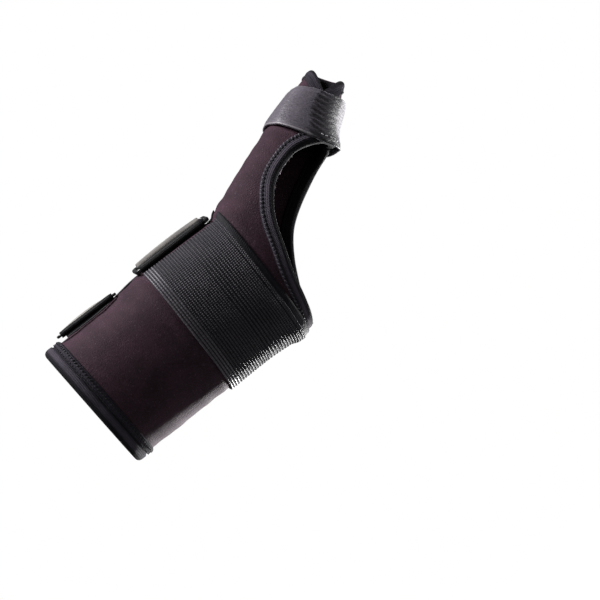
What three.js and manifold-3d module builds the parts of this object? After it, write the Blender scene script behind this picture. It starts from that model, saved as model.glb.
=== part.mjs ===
import * as THREE from "three";
import { mergeVertices } from "three/addons/utils/BufferGeometryUtils.js";
import Module from "manifold-3d";

const wasm = await Module();
wasm.setup();

// Thumb spica splint for a right hand, in the shape that it has when it is worn.
// X runs along the forearm towards the fingers, Z towards the thumb side and Y from the back of
// the hand to the palm. The origin is the centre of the wrist.

// Driving dimensions, in millimetres and degrees
const CLEARANCE = 0.3; // between pieces that touch
const WALL = 3; // neoprene
const FOREARM_LENGTH = 88; // wrist centre to the edge of the cuff
const CUFF_WIDTH = 71; // thumb side to little-finger side
const CUFF_DEPTH = 59; // back to palm side
const CUFF_SLANT = 4; // how much further the cuff's edge reaches on the thumb side
const WRIST_WIDTH = 72.5;
const WRIST_DEPTH = 51;
const HEEL_WIDTH = 76.5; // the wider section just past the wrist strap
const HEEL_REACH = 25; // wrist centre to that section
const THUMB_REACH = 121.5; // wrist centre to the middle of the thumb end, along X
const THUMB_RISE = 62; // the same along Z
const THUMB_PALM = 39; // the same along Y
const THUMB_WIDTH = 36; // at the root of the thumb
const THUMB_END_WIDTH = 19.5;
const THUMB_END_DEPTH = 24;
const NOTCH_DEPTH = 11; // the V between the two flaps at the thumb end
const OPENING_TIP = 29; // wrist centre to the hand opening at the little-finger side, along X
const WEB_PLACE = 0.06; // where the opening meets the web, from the thumb's root to the next section
const BINDING = 0.9; // thickness of the folded tape
const CUFF_BINDING_WIDTH = 9.5;
const HAND_BINDING_WIDTH = 6.8;
const THUMB_BINDING_WIDTH = 6.5;
const CLOSURE_BINDING_WIDTH = 8;
const WRIST_STRAP_WIDTH = 50;
const WRIST_STRAP = 1.6; // thickness of the ribbed elastic
const THUMB_STRAP_WIDTH = 30;
const THUMB_STRAP = 1.4;
const WRIST_TAB_WIDTH = 40;
const WRIST_RING_LENGTH = 47;
const WRIST_RING_PLACE = -4.2; // middle of the ring, along X
const WRIST_RING_WIRE = 2.2; // diameter
const FOREARM_STRAP_WIDTH = 28;
const FOREARM_RING_LENGTH = 37;
const FOREARM_RING_INSET = 28; // edge of the cuff to the middle of the ring
const FOREARM_RING_WIRE = 1.4;
const WRIST_TAB = 1; // thickness of the doubled-back end of the wrist strap
const WRIST_TAB_BOW = 0.8; // how far the middle of its fold stands off the ring
const FOREARM_STRAP = 0.8; // thickness of the forearm strap
const FOREARM_STRAP_BOW = 0.3; // how far the middle of its fold stands off the ring
const ANCHOR = 0.8; // thickness of the loop that holds a ring

const ROUNDNESS = 2.3; // exponent of a section's superellipse, 2 is an ellipse
const RING_POINTS = 36; // points round a section
const WIRE_SIDES = 6;
const FAR = 200; // past the end of every piece
const RUN_ON = 33; // how far an edge line is run on past the sleeve

const COLOURS = {
  neoprene: 0x33262e,
  tape: 0x26242c,
  elastic: 0x2b2b32,
  laminate: 0x4c4852,
  webbing: 0x101013,
  plastic: 0x0c0c0e,
};

// Sections of the sleeve from the cuff to the thumb end: the middle of each, its width and depth,
// how far its thumb side leans back and how far it turns to the palm in degrees, and the lofted
// steps to the next.
const SECTIONS = [
  {
    x: -1.06 * FOREARM_LENGTH, y: 0, z: -0.021 * CUFF_WIDTH,
    width: CUFF_WIDTH, depth: 1.01 * CUFF_DEPTH, lean: 0, turn: 0, steps: 1,
  },
  {
    x: -0.62 * FOREARM_LENGTH, y: 0, z: -0.02 * CUFF_WIDTH,
    width: 0.995 * CUFF_WIDTH, depth: 0.96 * CUFF_DEPTH, lean: 0, turn: 0, steps: 1,
  },
  {
    x: -0.32 * FOREARM_LENGTH, y: 0, z: 0,
    width: 1.01 * WRIST_WIDTH, depth: 1.04 * WRIST_DEPTH, lean: 0, turn: 0, steps: 1,
  },
  { x: 0, y: 0, z: 0, width: WRIST_WIDTH, depth: WRIST_DEPTH, lean: 0, turn: 0, steps: 1 },
  {
    x: 0.76 * HEEL_REACH, y: 0, z: -0.009 * WRIST_WIDTH,
    width: 1.018 * WRIST_WIDTH, depth: 0.98 * WRIST_DEPTH, lean: 0, turn: 0, steps: 1,
  },
  {
    x: HEEL_REACH, y: 0.01 * THUMB_PALM, z: 0.019 * THUMB_RISE,
    width: HEEL_WIDTH, depth: 0.97 * WRIST_DEPTH, lean: 0, turn: 0, steps: 2,
  },
  {
    x: 0.42 * THUMB_REACH, y: 0.08 * THUMB_PALM, z: 0.117 * THUMB_RISE,
    width: 1.06 * HEEL_WIDTH, depth: 0.87 * WRIST_DEPTH, lean: 8, turn: 7, steps: 2,
  },
  {
    x: 0.605 * THUMB_REACH, y: 0.28 * THUMB_PALM, z: 0.41 * THUMB_RISE,
    width: 1.69 * THUMB_WIDTH, depth: 0.78 * WRIST_DEPTH, lean: 19, turn: 16, steps: 2,
  },
  {
    x: 0.73 * THUMB_REACH, y: 0.56 * THUMB_PALM, z: 0.714 * THUMB_RISE,
    width: THUMB_WIDTH, depth: THUMB_WIDTH, lean: 28, turn: 25, steps: 2,
  },
  {
    x: 0.889 * THUMB_REACH, y: 0.82 * THUMB_PALM, z: 0.882 * THUMB_RISE,
    width: 0.735 * THUMB_WIDTH, depth: 0.81 * THUMB_WIDTH, lean: 30, turn: 28, steps: 1,
  },
  {
    x: THUMB_REACH, y: THUMB_PALM, z: THUMB_RISE,
    width: THUMB_END_WIDTH, depth: THUMB_END_DEPTH, lean: 34, turn: 28, steps: 1,
  },
  {
    x: 1.1 * THUMB_REACH, y: 1.17 * THUMB_PALM, z: 1.12 * THUMB_RISE,
    width: 0.9 * THUMB_END_WIDTH, depth: 0.9 * THUMB_END_DEPTH, lean: 34, turn: 28, steps: 0,
  },
];
const THUMB_ROOT = SECTIONS.length - 4; // row of the thumb's root
const THUMB_END = SECTIONS.length - 2; // row of the thumb end
const RING_STEP = 360 / RING_POINTS; // degrees

// Edge of the hand opening on the back and on the palm side, from the little-finger side to the
// web of the thumb: along and rise are shares of the way from the one to the other in X and Z.
const BACK_EDGE = [
  { along: 0, rise: 0 },
  { along: 0.022, rise: 0.08 },
  { along: 0.045, rise: 0.192 },
  { along: 0.085, rise: 0.39 },
  { along: 0.155, rise: 0.605 },
  { along: 0.218, rise: 0.785 },
  { along: 0.282, rise: 0.9 },
  { along: 0.394, rise: 1.03 },
  { along: 0.515, rise: 1.1 },
  { along: 0.672, rise: 1.143 },
  { along: 0.765, rise: 1.136 },
  { along: 0.85, rise: 1.11 },
  { along: 0.936, rise: 1.067 },
  { along: 1, rise: 1 },
];
const PALM_EDGE = [
  { along: 0, rise: 0 },
  { along: 0.06, rise: 0.13 },
  { along: 0.14, rise: 0.3 },
  { along: 0.24, rise: 0.5 },
  { along: 0.36, rise: 0.67 },
  { along: 0.52, rise: 0.79 },
  { along: 0.74, rise: 0.9 },
  { along: 1, rise: 1 },
];

// Edge of the thumb end on the back, with the V between its two flaps, and on the palm side:
// side is a share of half the end's width, from the web to the outside, deep of NOTCH_DEPTH.
const FLAPS = [
  { side: -1.25, deep: 0.16 },
  { side: -0.98, deep: 0 },
  { side: -0.6, deep: 0.35 },
  { side: 0.02, deep: 1 },
  { side: 0.5, deep: 0.42 },
  { side: 0.92, deep: 0 },
  { side: 1.25, deep: 0.12 },
];
const PLAIN_END = [FLAPS[0], FLAPS[1], FLAPS[5], FLAPS[6]];

// Plain vector helpers
const point = (x, y, z) => new THREE.Vector3(x, y, z);
const mix = (a, b, share) => a + (b - a) * share;
const radians = THREE.MathUtils.degToRad;

// One column of the table at a place s, in rows, on a smooth curve through the rows.
function column(key, s) {
  const last = SECTIONS.length - 1;
  const row = Math.min(Math.max(Math.floor(s), 0), last - 1);
  const u = s - row;
  const value = (k) => SECTIONS[Math.min(Math.max(k, 0), last)][key];
  const [a, b, c, d] = [value(row - 1), value(row), value(row + 1), value(row + 2)];
  const slopeB = row > 0 ? (c - a) / 2 : c - b;
  const slopeC = row < last - 1 ? (d - b) / 2 : c - b;
  const rise = c - b;
  return b + u * (slopeB + u * (3 * rise - 2 * slopeB - slopeC + u * (slopeB + slopeC - 2 * rise)));
}

// The section at s: its middle, its axes across and through, and its half sizes.
function section(s) {
  const [lean, turn] = [radians(column("lean", s)), radians(column("turn", s))];
  const ahead = point(Math.cos(lean), 0, Math.sin(lean));
  return {
    middle: point(column("x", s), column("y", s), column("z", s)),
    across: point(-Math.sin(lean), 0, Math.cos(lean)),
    through: point(0, Math.cos(turn), 0).addScaledVector(ahead, -Math.sin(turn)),
    half: column("width", s) / 2,
    halfDepth: column("depth", s) / 2,
  };
}

// A point of the sleeve's outer face at s, moved out by offset. The angle is 0 at the thumb side,
// 90 on the palm side, 180 at the little-finger side and 270 on the back.
function sleevePoint(s, angle, offset) {
  const { middle, across, through, half, halfDepth } = section(s);
  const power = 2 / ROUNDNESS;
  const share = (value) => Math.sign(value) * Math.abs(value) ** power;
  return middle
    .addScaledVector(across, (half + offset) * share(Math.cos(radians(angle))))
    .addScaledVector(through, (halfDepth + offset) * share(Math.sin(radians(angle))));
}

// The place s at x, on a straight line between the rows.
function stationAt(x) {
  const row = Math.max(SECTIONS.findLastIndex((at) => at.x <= x), 0);
  const next = Math.min(row + 1, SECTIONS.length - 1);
  return row + (x - SECTIONS[row].x) / (SECTIONS[next].x - SECTIONS[row].x);
}

// Places of the lofted stations, in rows of the table.
const STATIONS = SECTIONS.flatMap(({ steps }, row) =>
  Array.from({ length: steps }, (_, k) => row + k / steps),
);
STATIONS.push(SECTIONS.length - 1);

// The same point as sleevePoint, on the flat facets between the stations and the ring's points.
function facePoint(s, angle, offset) {
  const k = Math.max(STATIONS.findLastIndex((station) => station <= s), 0);
  const low = Math.floor(angle / RING_STEP);
  const [from, to] = [0, 1].map((next) => {
    const station = STATIONS[Math.min(k + next, STATIONS.length - 1)];
    const [a, b] = [0, 1].map((m) => sleevePoint(station, (low + m) * RING_STEP, offset));
    return a.lerp(b, angle / RING_STEP - low);
  });
  const share = k < STATIONS.length - 1 ? (s - STATIONS[k]) / (STATIONS[k + 1] - STATIONS[k]) : 0;
  return from.lerp(to, share);
}

// The sleeve's outer face on the forearm at x and an angle, moved out by offset.
const armPoint = (x, angle, offset) => facePoint(stationAt(x), angle, offset);

// Solids for joining and cutting
function fromGeometry(geometry) {
  geometry.deleteAttribute("normal");
  geometry.deleteAttribute("uv");
  const merged = mergeVertices(geometry, 1e-4);
  return new wasm.Manifold(
    new wasm.Mesh({
      numProp: 3,
      vertProperties: merged.attributes.position.array,
      triVerts: new Uint32Array(merged.index.array),
    }),
  );
}

function solidOf(vertices, faces) {
  const geometry = new THREE.BufferGeometry();
  const numbers = vertices.flatMap((v) => v.toArray());
  geometry.setAttribute("position", new THREE.Float32BufferAttribute(numbers, 3));
  geometry.setIndex(faces.flat());
  return fromGeometry(geometry);
}

// The same, with its faces turned round if they point in.
function solidFacingOut(vertices, faces) {
  const made = solidOf(vertices, faces);
  return made.volume() > 0 ? made : solidOf(vertices, faces.map(([a, b, c]) => [a, c, b]));
}

function meshOf(name, solid, colour, roughness) {
  const { vertProperties, triVerts } = solid.getMesh();
  const geometry = new THREE.BufferGeometry();
  geometry.setAttribute("position", new THREE.Float32BufferAttribute(vertProperties, 3));
  geometry.setIndex(new THREE.Uint32BufferAttribute(triVerts, 1));
  geometry.computeVertexNormals();
  const material = new THREE.MeshStandardMaterial({ color: colour, roughness, metalness: 0 });
  const mesh = new THREE.Mesh(geometry, material);
  mesh.name = name;
  return mesh;
}

// The two triangles of each cell of a grid. Vertex (i, j) has the number index(i, j).
function gridFaces(rows, columns, index) {
  const faces = [];
  for (let i = 0; i < rows; i++)
    for (let j = 0; j < columns; j++) {
      const [a, b, c, d] = [index(i, j), index(i + 1, j), index(i + 1, j + 1), index(i, j + 1)];
      faces.push([a, b, c], [a, c, d]);
    }
  return faces;
}

// The solid inside the sleeve's face, moved out by offset, run past both ends by extra rows.
function loft(offset, extra) {
  const places = STATIONS.slice();
  places[0] -= extra;
  places[places.length - 1] += extra;
  const vertices = places.flatMap((s) =>
    Array.from({ length: RING_POINTS }, (_, k) => sleevePoint(s, k * RING_STEP, offset)),
  );
  const last = places.length - 1;
  const faces = gridFaces(last, RING_POINTS, (i, j) => i * RING_POINTS + (j % RING_POINTS));
  for (const end of [0, last]) {
    const middle = vertices.length;
    vertices.push(section(places[end]).middle);
    for (let k = 0; k < RING_POINTS; k++) {
      const [a, b] = [end * RING_POINTS + k, end * RING_POINTS + ((k + 1) % RING_POINTS)];
      faces.push(end === 0 ? [middle, a, b] : [middle, b, a]);
    }
  }
  return solidOf(vertices, faces);
}

// A closed strip: at(i, j, side) gives its points along, across and on the inner or outer face.
function strip(alongSteps, acrossSteps, at) {
  const vertices = [];
  const across = acrossSteps + 1;
  for (const side of [0, 1])
    for (let i = 0; i <= alongSteps; i++)
      for (let j = 0; j <= acrossSteps; j++) vertices.push(at(i, j, side));
  const number = (i, j, side) => side * (alongSteps + 1) * across + i * across + j;
  const faces = [
    ...gridFaces(alongSteps, acrossSteps, (i, j) => number(i, j, 1)),
    ...gridFaces(acrossSteps, alongSteps, (j, i) => number(i, j, 0)),
    ...gridFaces(alongSteps, 1, (i, side) => number(i, 0, side)),
    ...gridFaces(1, alongSteps, (side, i) => number(i, acrossSteps, side)),
    ...gridFaces(1, acrossSteps, (side, j) => number(0, j, side)),
    ...gridFaces(acrossSteps, 1, (j, side) => number(alongSteps, j, side)),
  ];
  return solidFacingOut(vertices, faces);
}

// A strip that follows a route across X: route(x) gives its middle line as points.
function webbing(route, thickness, xs) {
  const lines = xs.map(route);
  const steps = lines[0].length - 1;
  return strip(steps, xs.length - 1, (i, j, side) => {
    const line = lines[j];
    const [before, after] = [line[Math.max(i - 1, 0)], line[Math.min(i + 1, steps)]];
    const out = point(0, before.z - after.z, after.y - before.y).normalize();
    return line[i].clone().addScaledVector(out, (side - 0.5) * thickness);
  });
}

// A prism along Y, as long as everything, over an outline of { x, z } points.
function prism(outline) {
  const shape = new THREE.Shape(outline.map(({ x, z }) => new THREE.Vector2(x, z)));
  const geometry = new THREE.ExtrudeGeometry(shape, { depth: 2 * FAR, bevelEnabled: false });
  return fromGeometry(geometry.translate(0, 0, -FAR).rotateX(Math.PI / 2));
}

// An edge line moved sideways by distance, after both its ends are run on. Its points hold X and
// Z as their x and y.
function movedEdge(line, distance) {
  const runOn = (end, next) =>
    end.clone().addScaledVector(end.clone().sub(next).normalize(), RUN_ON);
  const whole = [runOn(line[0], line[1]), ...line, runOn(line.at(-1), line.at(-2))];
  return whole.map((at, k) => {
    const [before, after] = [whole[Math.max(k - 1, 0)], whole[Math.min(k + 1, whole.length - 1)]];
    const way = after.clone().sub(before).normalize();
    return { x: at.x + way.y * distance, z: at.y - way.x * distance };
  });
}

const smoothLine = (points, steps) => new THREE.SplineCurve(points).getPoints(steps);
const TIP = sleevePoint(stationAt(OPENING_TIP), 180, 0);
const WEB = sleevePoint(THUMB_ROOT + WEB_PLACE, 180, 0);

// The opening's edge as a smooth line, which leaves the web straight out.
function openingEdge(rows, steps) {
  const points = rows.map(
    ({ along, rise }) => new THREE.Vector2(mix(TIP.x, WEB.x, along), mix(TIP.z, WEB.z, rise)),
  );
  const { across } = section(THUMB_ROOT + WEB_PLACE);
  const out = new THREE.Vector2(-across.x, -across.z);
  return [...smoothLine(points, steps), points.at(-1).clone().addScaledVector(out, RUN_ON)];
}

const SLOPE_START = 0.395; // where that face starts to slope, as a share of THUMB_REACH

// Everything on the back side of the face that parts back and palm: level with the forearm, then
// sloping with the thumb. The face is moved to the back by inset.
function backSide(inset) {
  const start = SLOPE_START * THUMB_REACH;
  const slope = WEB.y / (WEB.x - start);
  const shape = new THREE.Shape([
    new THREE.Vector2(-FAR, -FAR),
    new THREE.Vector2(FAR, -FAR),
    new THREE.Vector2(FAR, (FAR - start) * slope - inset),
    new THREE.Vector2(start, -inset),
    new THREE.Vector2(-FAR, -inset),
  ]);
  const geometry = new THREE.ExtrudeGeometry(shape, { depth: 2 * FAR, bevelEnabled: false });
  return fromGeometry(geometry.translate(0, 0, -FAR));
}

const EDGE_STEPS = { back: 17, palm: 11, thumb: 12 }; // straight pieces in each smooth edge
const SEAM_LAP = 0.02; // so that the two cuts leave no film between them
const bothSides = (onBack, onPalm, gap) =>
  onBack.intersect(backSide(gap)).add(onPalm.subtract(backSide(-gap)));

// What the hand opening cuts away, with its edge moved towards the fingers by distance and its
// two sides kept apart by gap.
function handOpening(distance, gap = -SEAM_LAP) {
  const cut = (rows, steps) => {
    const edge = movedEdge(openingEdge(rows, steps), distance);
    return prism([...edge, { x: FAR, z: -FAR }, { x: edge[0].x, z: -FAR }]);
  };
  return bothSides(cut(BACK_EDGE, EDGE_STEPS.back), cut(PALM_EDGE, EDGE_STEPS.palm), gap);
}

// What lies past the thumb end, with the V on the back, its edge moved out by distance.
function pastThumb(distance, gap = -SEAM_LAP) {
  const { middle, across, half } = section(THUMB_END);
  const out = new THREE.Vector2(across.z, -across.x);
  const at = ({ side, deep }) =>
    new THREE.Vector2(middle.x, middle.z)
      .addScaledVector(new THREE.Vector2(across.x, across.z), side * half)
      .addScaledVector(out, -deep * NOTCH_DEPTH);
  const cut = (line) => {
    const edge = movedEdge(line, distance);
    const [first, last] = [edge[0], edge.at(-1)];
    return prism([...edge, { x: last.x, z: FAR }, { x: FAR, z: FAR }, { x: FAR, z: first.z }]);
  };
  return bothSides(cut(smoothLine(FLAPS.map(at), EDGE_STEPS.thumb)), cut(PLAIN_END.map(at)), gap);
}

// What lies past the cuff, with its edge moved out by distance.
function pastCuff(distance) {
  const x = (z) => -FOREARM_LENGTH - distance + CUFF_SLANT * (0.5 - z / CUFF_WIDTH);
  return prism([
    { x: x(FAR), z: FAR },
    { x: -FAR - FOREARM_LENGTH, z: FAR },
    { x: -FAR - FOREARM_LENGTH, z: -FAR },
    { x: x(-FAR), z: -FAR },
  ]);
}

// The wall of the whole loft, grown on both faces by extra.
function wall(extra) {
  return loft(extra, 0).subtract(loft(-WALL - extra, 0.1));
}

// The sleeve, grown on every side by extra.
function sleeve(extra) {
  const gap = extra > 0 ? extra : -SEAM_LAP;
  return wall(extra)
    .subtract(handOpening(extra, gap))
    .subtract(pastThumb(extra, gap))
    .subtract(pastCuff(extra));
}

// Tape folded over one edge of the sleeve, which cut(distance) gives.
function folded(cut, width) {
  const lap = CLEARANCE + BINDING;
  return wall(lap).intersect(cut(-width)).subtract(cut(lap)).subtract(sleeve(CLEARANCE));
}

// A closed wire of round section round a flat loop of points, whose plane has the given normal.
function wireLoop(loop, normal, diameter) {
  const count = loop.length;
  const vertices = loop.flatMap((at, k) => {
    const way = loop[(k + 1) % count].clone().sub(loop[(k + count - 1) % count]).normalize();
    const side = normal.clone().cross(way);
    return Array.from({ length: WIRE_SIDES }, (_, m) => {
      const turn = (2 * Math.PI * m) / WIRE_SIDES;
      return at
        .clone()
        .addScaledVector(side, (Math.cos(turn) * diameter) / 2)
        .addScaledVector(normal, (Math.sin(turn) * diameter) / 2);
    });
  });
  const faces = gridFaces(count, WIRE_SIDES, (i, j) => (i % count) * WIRE_SIDES + (j % WIRE_SIDES));
  return solidFacingOut(vertices, faces);
}

// The height over the arm that clears it at both ends of a length.
function higherEnd(place, length, angle, offset) {
  const [a, b] = [-0.5, 0.5].map((share) => armPoint(place + share * length, angle, offset));
  return a.z > b.z ? a : b;
}

// Where a ring's two long bars lie over the thumb-side border, and what goes round them.
function ringSeat({ place, length, wire, backAngle, palmAngle, tab, bow }) {
  const radius = wire / 2;
  const under = CLEARANCE + ANCHOR + CLEARANCE + radius;
  const overEdge = CLEARANCE + BINDING + CLEARANCE + tab + CLEARANCE + radius;
  return {
    place,
    length,
    wire,
    tab,
    bow,
    backBar: higherEnd(place, length, backAngle, under),
    palmBar: higherEnd(place, length, palmAngle, overEdge),
  };
}

const ringCorner = (wire) => 0.8 * wire;
const ringWindow = ({ length, wire }) => length - wire - 2 * ringCorner(wire) - 2 * CLEARANCE;

function ring(seat) {
  const { place, length, wire, backBar, palmBar } = seat;
  const corner = ringCorner(wire);
  const way = palmBar.clone().sub(backBar);
  const depth = way.length();
  way.normalize();
  const half = (length - wire) / 2;
  const loop = [];
  for (const [endX, endY] of [
    [1, 0],
    [1, 1],
    [-1, 1],
    [-1, 0],
  ])
    for (const turn of [0, 30, 60, 90]) {
      const [c, s] = [Math.cos(radians(turn)), Math.sin(radians(turn))];
      const [outX, outY] = (endX > 0) === (endY > 0) ? [c, s] : [s, c];
      const x = place + endX * (half - corner + corner * outX);
      const y = endY ? depth - corner + corner * outY : corner - corner * outY;
      loop.push(point(x, 0, 0).add(point(0, backBar.y, backBar.z)).addScaledVector(way, y));
    }
  return wireLoop(loop, point(0, -way.z, way.y).normalize(), wire);
}

// Points on an arc round a bar, from one angle to another, at a radius. 0 degrees is the palm
// side and 90 is straight out of the arm.
function roundBar(bar, radius, from, to, steps) {
  return Array.from({ length: steps + 1 }, (_, k) => {
    const turn = radians(mix(from, to, k / steps));
    return point(0, bar.y + radius * Math.cos(turn), bar.z + radius * Math.sin(turn));
  });
}

const BAR_STEPS = 9; // straight pieces of webbing round a bar
const atX = (x, points) => points.map((p) => point(x, p.y, p.z));
const spread = (from, to, steps) => Array.from({ length: steps + 1 }, (_, k) => mix(from, to, k / steps));

// From one value to another, with each of the stops between them.
function through(from, to, stops) {
  const between = stops.filter((at) => (at - from) * (at - to) < 0);
  between.sort((a, b) => (a - b) * Math.sign(to - from));
  return [from, ...between, to];
}

// Angles from one to another by way of the ring's own points.
const RING_ANGLES = spread(-2, 2, 4 * RING_POINTS).map((turn) => turn * 360);
const turnFrom = (from, to) => through(from, to, RING_ANGLES);

// The black loop that is folded round a ring's back bar, from the arm to the arm.
function anchor(seat) {
  const radius = seat.wire / 2 + CLEARANCE + ANCHOR / 2;
  const half = ringWindow(seat) / 2;
  const [from, to] = [205, -110];
  const route = (x) => atX(x, roundBar(seat.backBar, radius, from, to, BAR_STEPS));
  return webbing(route, ANCHOR, [seat.place - half, seat.place + half]);
}

// Round the arm: where a tab leaves it for the ring, passes over the closure's edge and lands
// again; and round the ring's palm bar: where its bend starts and ends.
const TAB_ANGLES = { leave: 26, edge: [18, 11], land: 30, bend: [250, 20] };

// A tab that comes up the palm side, goes through the ring, over its palm bar and back down.
// It starts at one angle and ends at another, and lies above the layer that is lift thick.
function doubledTab(seat, width, fromAngle, toAngle, lift) {
  const thickness = seat.tab;
  const radius = seat.wire / 2 + CLEARANCE + thickness / 2;
  const inner = CLEARANCE + thickness / 2;
  const outer = CLEARANCE + lift + CLEARANCE + thickness / 2;
  const overEdge = CLEARANCE + BINDING + CLEARANCE + thickness / 2;
  const route = (x) => {
    const up = turnFrom(fromAngle, TAB_ANGLES.leave).map((angle) => armPoint(x, angle, inner));
    const edge = TAB_ANGLES.edge.map((angle) => armPoint(x, angle, overEdge));
    const bow = seat.bow * (1 - ((2 * (x - seat.place)) / width) ** 2);
    const [from, to] = TAB_ANGLES.bend;
    const bend = roundBar(seat.palmBar, radius, from, to, BAR_STEPS).map((p, k) =>
      p.addScaledVector(point(0, 0, 1), bow * Math.sin((Math.PI * k) / BAR_STEPS)),
    );
    const down = turnFrom(TAB_ANGLES.land, toAngle).map((angle) => armPoint(x, angle, outer));
    return atX(x, [...up, ...edge, ...bend, ...down]);
  };
  const xs = spread(seat.place - width / 2, seat.place + width / 2, 4);
  return webbing(route, thickness, xs);
}

// Strap round the wrist from the ring over the back and the little-finger side to the palm side.
// Its hand-side edge is lifted over the binding where that crosses under it.
function wristStrap(fromAngle, toAngle) {
  const [flat, lifted] = [0.24, 0.36].map((share) => share * WRIST_STRAP_WIDTH);
  const crossed = [62, 75]; // from the little-finger side, in degrees
  const half = WRIST_STRAP_WIDTH / 2;
  const xs = through(-half, half, [...SECTIONS.map((at) => at.x), flat, lifted]);
  const angles = turnFrom(fromAngle, toAngle);
  return strip(angles.length - 1, xs.length - 1, (i, j, side) => {
    const crossing = 1 - THREE.MathUtils.smoothstep(Math.abs(angles[i] + 180), ...crossed);
    const lift = xs[j] < lifted ? 0 : crossing * (CLEARANCE + BINDING);
    return armPoint(xs[j], angles[i], CLEARANCE + lift + side * WRIST_STRAP);
  });
}

// The angle that the thumb strap starts at, its turns, the rows that its middle runs over at the
// outside and the web, how many rows further out it lies on the palm side and further in on the
// back, and the turn from which its end rises over its start.
const THUMB_STRAP_ROUTE = {
  start: 130,
  turns: 1.14,
  outside: THUMB_ROOT + 0.33,
  web: THUMB_ROOT + 0.57,
  slant: 0.31,
  lapFrom: 0.86,
};
const OPENING_SPREAD = [130, 152]; // degrees from the web up to which the strap clears its tape

// Strap once round the thumb, with its end lapped over its start on the palm side. It lies on the
// sleeve at the outside of the thumb and over the opening's tape everywhere else.
function thumbStrap() {
  const { start, turns: lapTurns, outside, web, slant, lapFrom } = THUMB_STRAP_ROUTE;
  const rowLength = section(outside + 0.5).middle.distanceTo(section(outside - 0.5).middle);
  const angles = turnFrom(start, start - 360 * lapTurns);
  const shares = spread(-0.5, 0.5, 4);
  return strip(angles.length - 1, shares.length - 1, (i, j, side) => {
    const turns = (start - angles[i]) / 360;
    const [out, toPalm] = [Math.cos(radians(angles[i])), Math.sin(radians(angles[i]))];
    const middle = mix(web, outside, 0.5 + 0.5 * out) + slant * toPalm;
    const place = middle + (shares[j] * THUMB_STRAP_WIDTH) / rowLength;
    const fromWeb = Math.abs(THREE.MathUtils.euclideanModulo(angles[i], 360) - 180);
    const onTape = 1 - THREE.MathUtils.smoothstep(fromWeb, ...OPENING_SPREAD);
    const lap = THREE.MathUtils.smoothstep(turns, lapFrom, 1) * (THUMB_STRAP + CLEARANCE);
    const base = CLEARANCE + onTape * (BINDING + CLEARANCE);
    return facePoint(place, angles[i], base + lap + side * THUMB_STRAP);
  });
}

// Thin tape along the thumb-side border, where the wrap's palm panel ends.
function closureTape() {
  const degreesPerMm = 360 / (Math.PI * ((WRIST_WIDTH + WRIST_DEPTH) / 2));
  const from = 2;
  const to = from + CLOSURE_BINDING_WIDTH * degreesPerMm;
  const start = -FOREARM_LENGTH + CUFF_BINDING_WIDTH + CUFF_SLANT;
  const xs = through(start, HEEL_REACH, SECTIONS.map((at) => at.x));
  const angles = turnFrom(from, to);
  return strip(angles.length - 1, xs.length - 1, (i, j, side) =>
    armPoint(xs[j], angles[i], CLEARANCE + side * BINDING),
  );
}

const wristSeat = ringSeat({
  place: WRIST_RING_PLACE,
  length: WRIST_RING_LENGTH,
  wire: WRIST_RING_WIRE,
  backAngle: -16,
  palmAngle: 4.5,
  tab: WRIST_TAB,
  bow: WRIST_TAB_BOW,
});
const forearmSeat = ringSeat({
  place: -FOREARM_LENGTH + FOREARM_RING_INSET,
  length: FOREARM_RING_LENGTH,
  wire: FOREARM_RING_WIRE,
  backAngle: -14,
  palmAngle: 14,
  tab: FOREARM_STRAP,
  bow: FOREARM_STRAP_BOW,
});

// Where the straps and tabs start and end round the arm, in degrees
const WRIST_STRAP_TURN = { from: -24, to: -318 };
const WRIST_TAB_TURN = { from: 41, to: 104 };
const FOREARM_STRAP_TURN = { from: 150, to: 112 };

// The pieces
const wristTab = doubledTab(
  wristSeat, WRIST_TAB_WIDTH, WRIST_TAB_TURN.from, WRIST_TAB_TURN.to, WRIST_STRAP,
);
const forearmStrap = doubledTab(
  forearmSeat, FOREARM_STRAP_WIDTH, FOREARM_STRAP_TURN.from, FOREARM_STRAP_TURN.to, FOREARM_STRAP,
);
const splint = new THREE.Group();
splint.add(
  meshOf("sleeve_body", sleeve(0), COLOURS.neoprene, 0.85),
  meshOf("cuff_binding", folded(pastCuff, CUFF_BINDING_WIDTH), COLOURS.tape, 0.8),
  meshOf("hand_binding", folded(handOpening, HAND_BINDING_WIDTH), COLOURS.tape, 0.8),
  meshOf("thumb_binding", folded(pastThumb, THUMB_BINDING_WIDTH), COLOURS.tape, 0.8),
  meshOf("closure_binding", closureTape(), COLOURS.tape, 0.8),
  meshOf("wrist_strap", wristStrap(WRIST_STRAP_TURN.from, WRIST_STRAP_TURN.to), COLOURS.elastic, 0.75),
  meshOf("wrist_ring", ring(wristSeat), COLOURS.plastic, 0.3),
  meshOf("wrist_anchor", anchor(wristSeat), COLOURS.webbing, 0.7),
  meshOf("wrist_tab", wristTab, COLOURS.laminate, 0.6),
  meshOf("forearm_strap", forearmStrap, COLOURS.laminate, 0.6),
  meshOf("forearm_ring", ring(forearmSeat), COLOURS.plastic, 0.3),
  meshOf("forearm_anchor", anchor(forearmSeat), COLOURS.webbing, 0.7),
  meshOf("thumb_strap", thumbStrap(), COLOURS.laminate, 0.6),
);

export default splint;
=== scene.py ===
"""Looks of the thumb spica splint: smooth cloth pieces, stitches, finishes, lights and camera.

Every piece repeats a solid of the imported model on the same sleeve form, in millimetres, and is
handed to Blender in metres. X runs along the forearm to the fingers, Z to the thumb side and Y
from the back of the hand to the palm.
"""

import sys
import logging
import math
from dataclasses import dataclass, field
from enum import Enum
from typing import Callable, Optional, Sequence

import bpy
import numpy as np
from mathutils import Matrix, Vector


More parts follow.
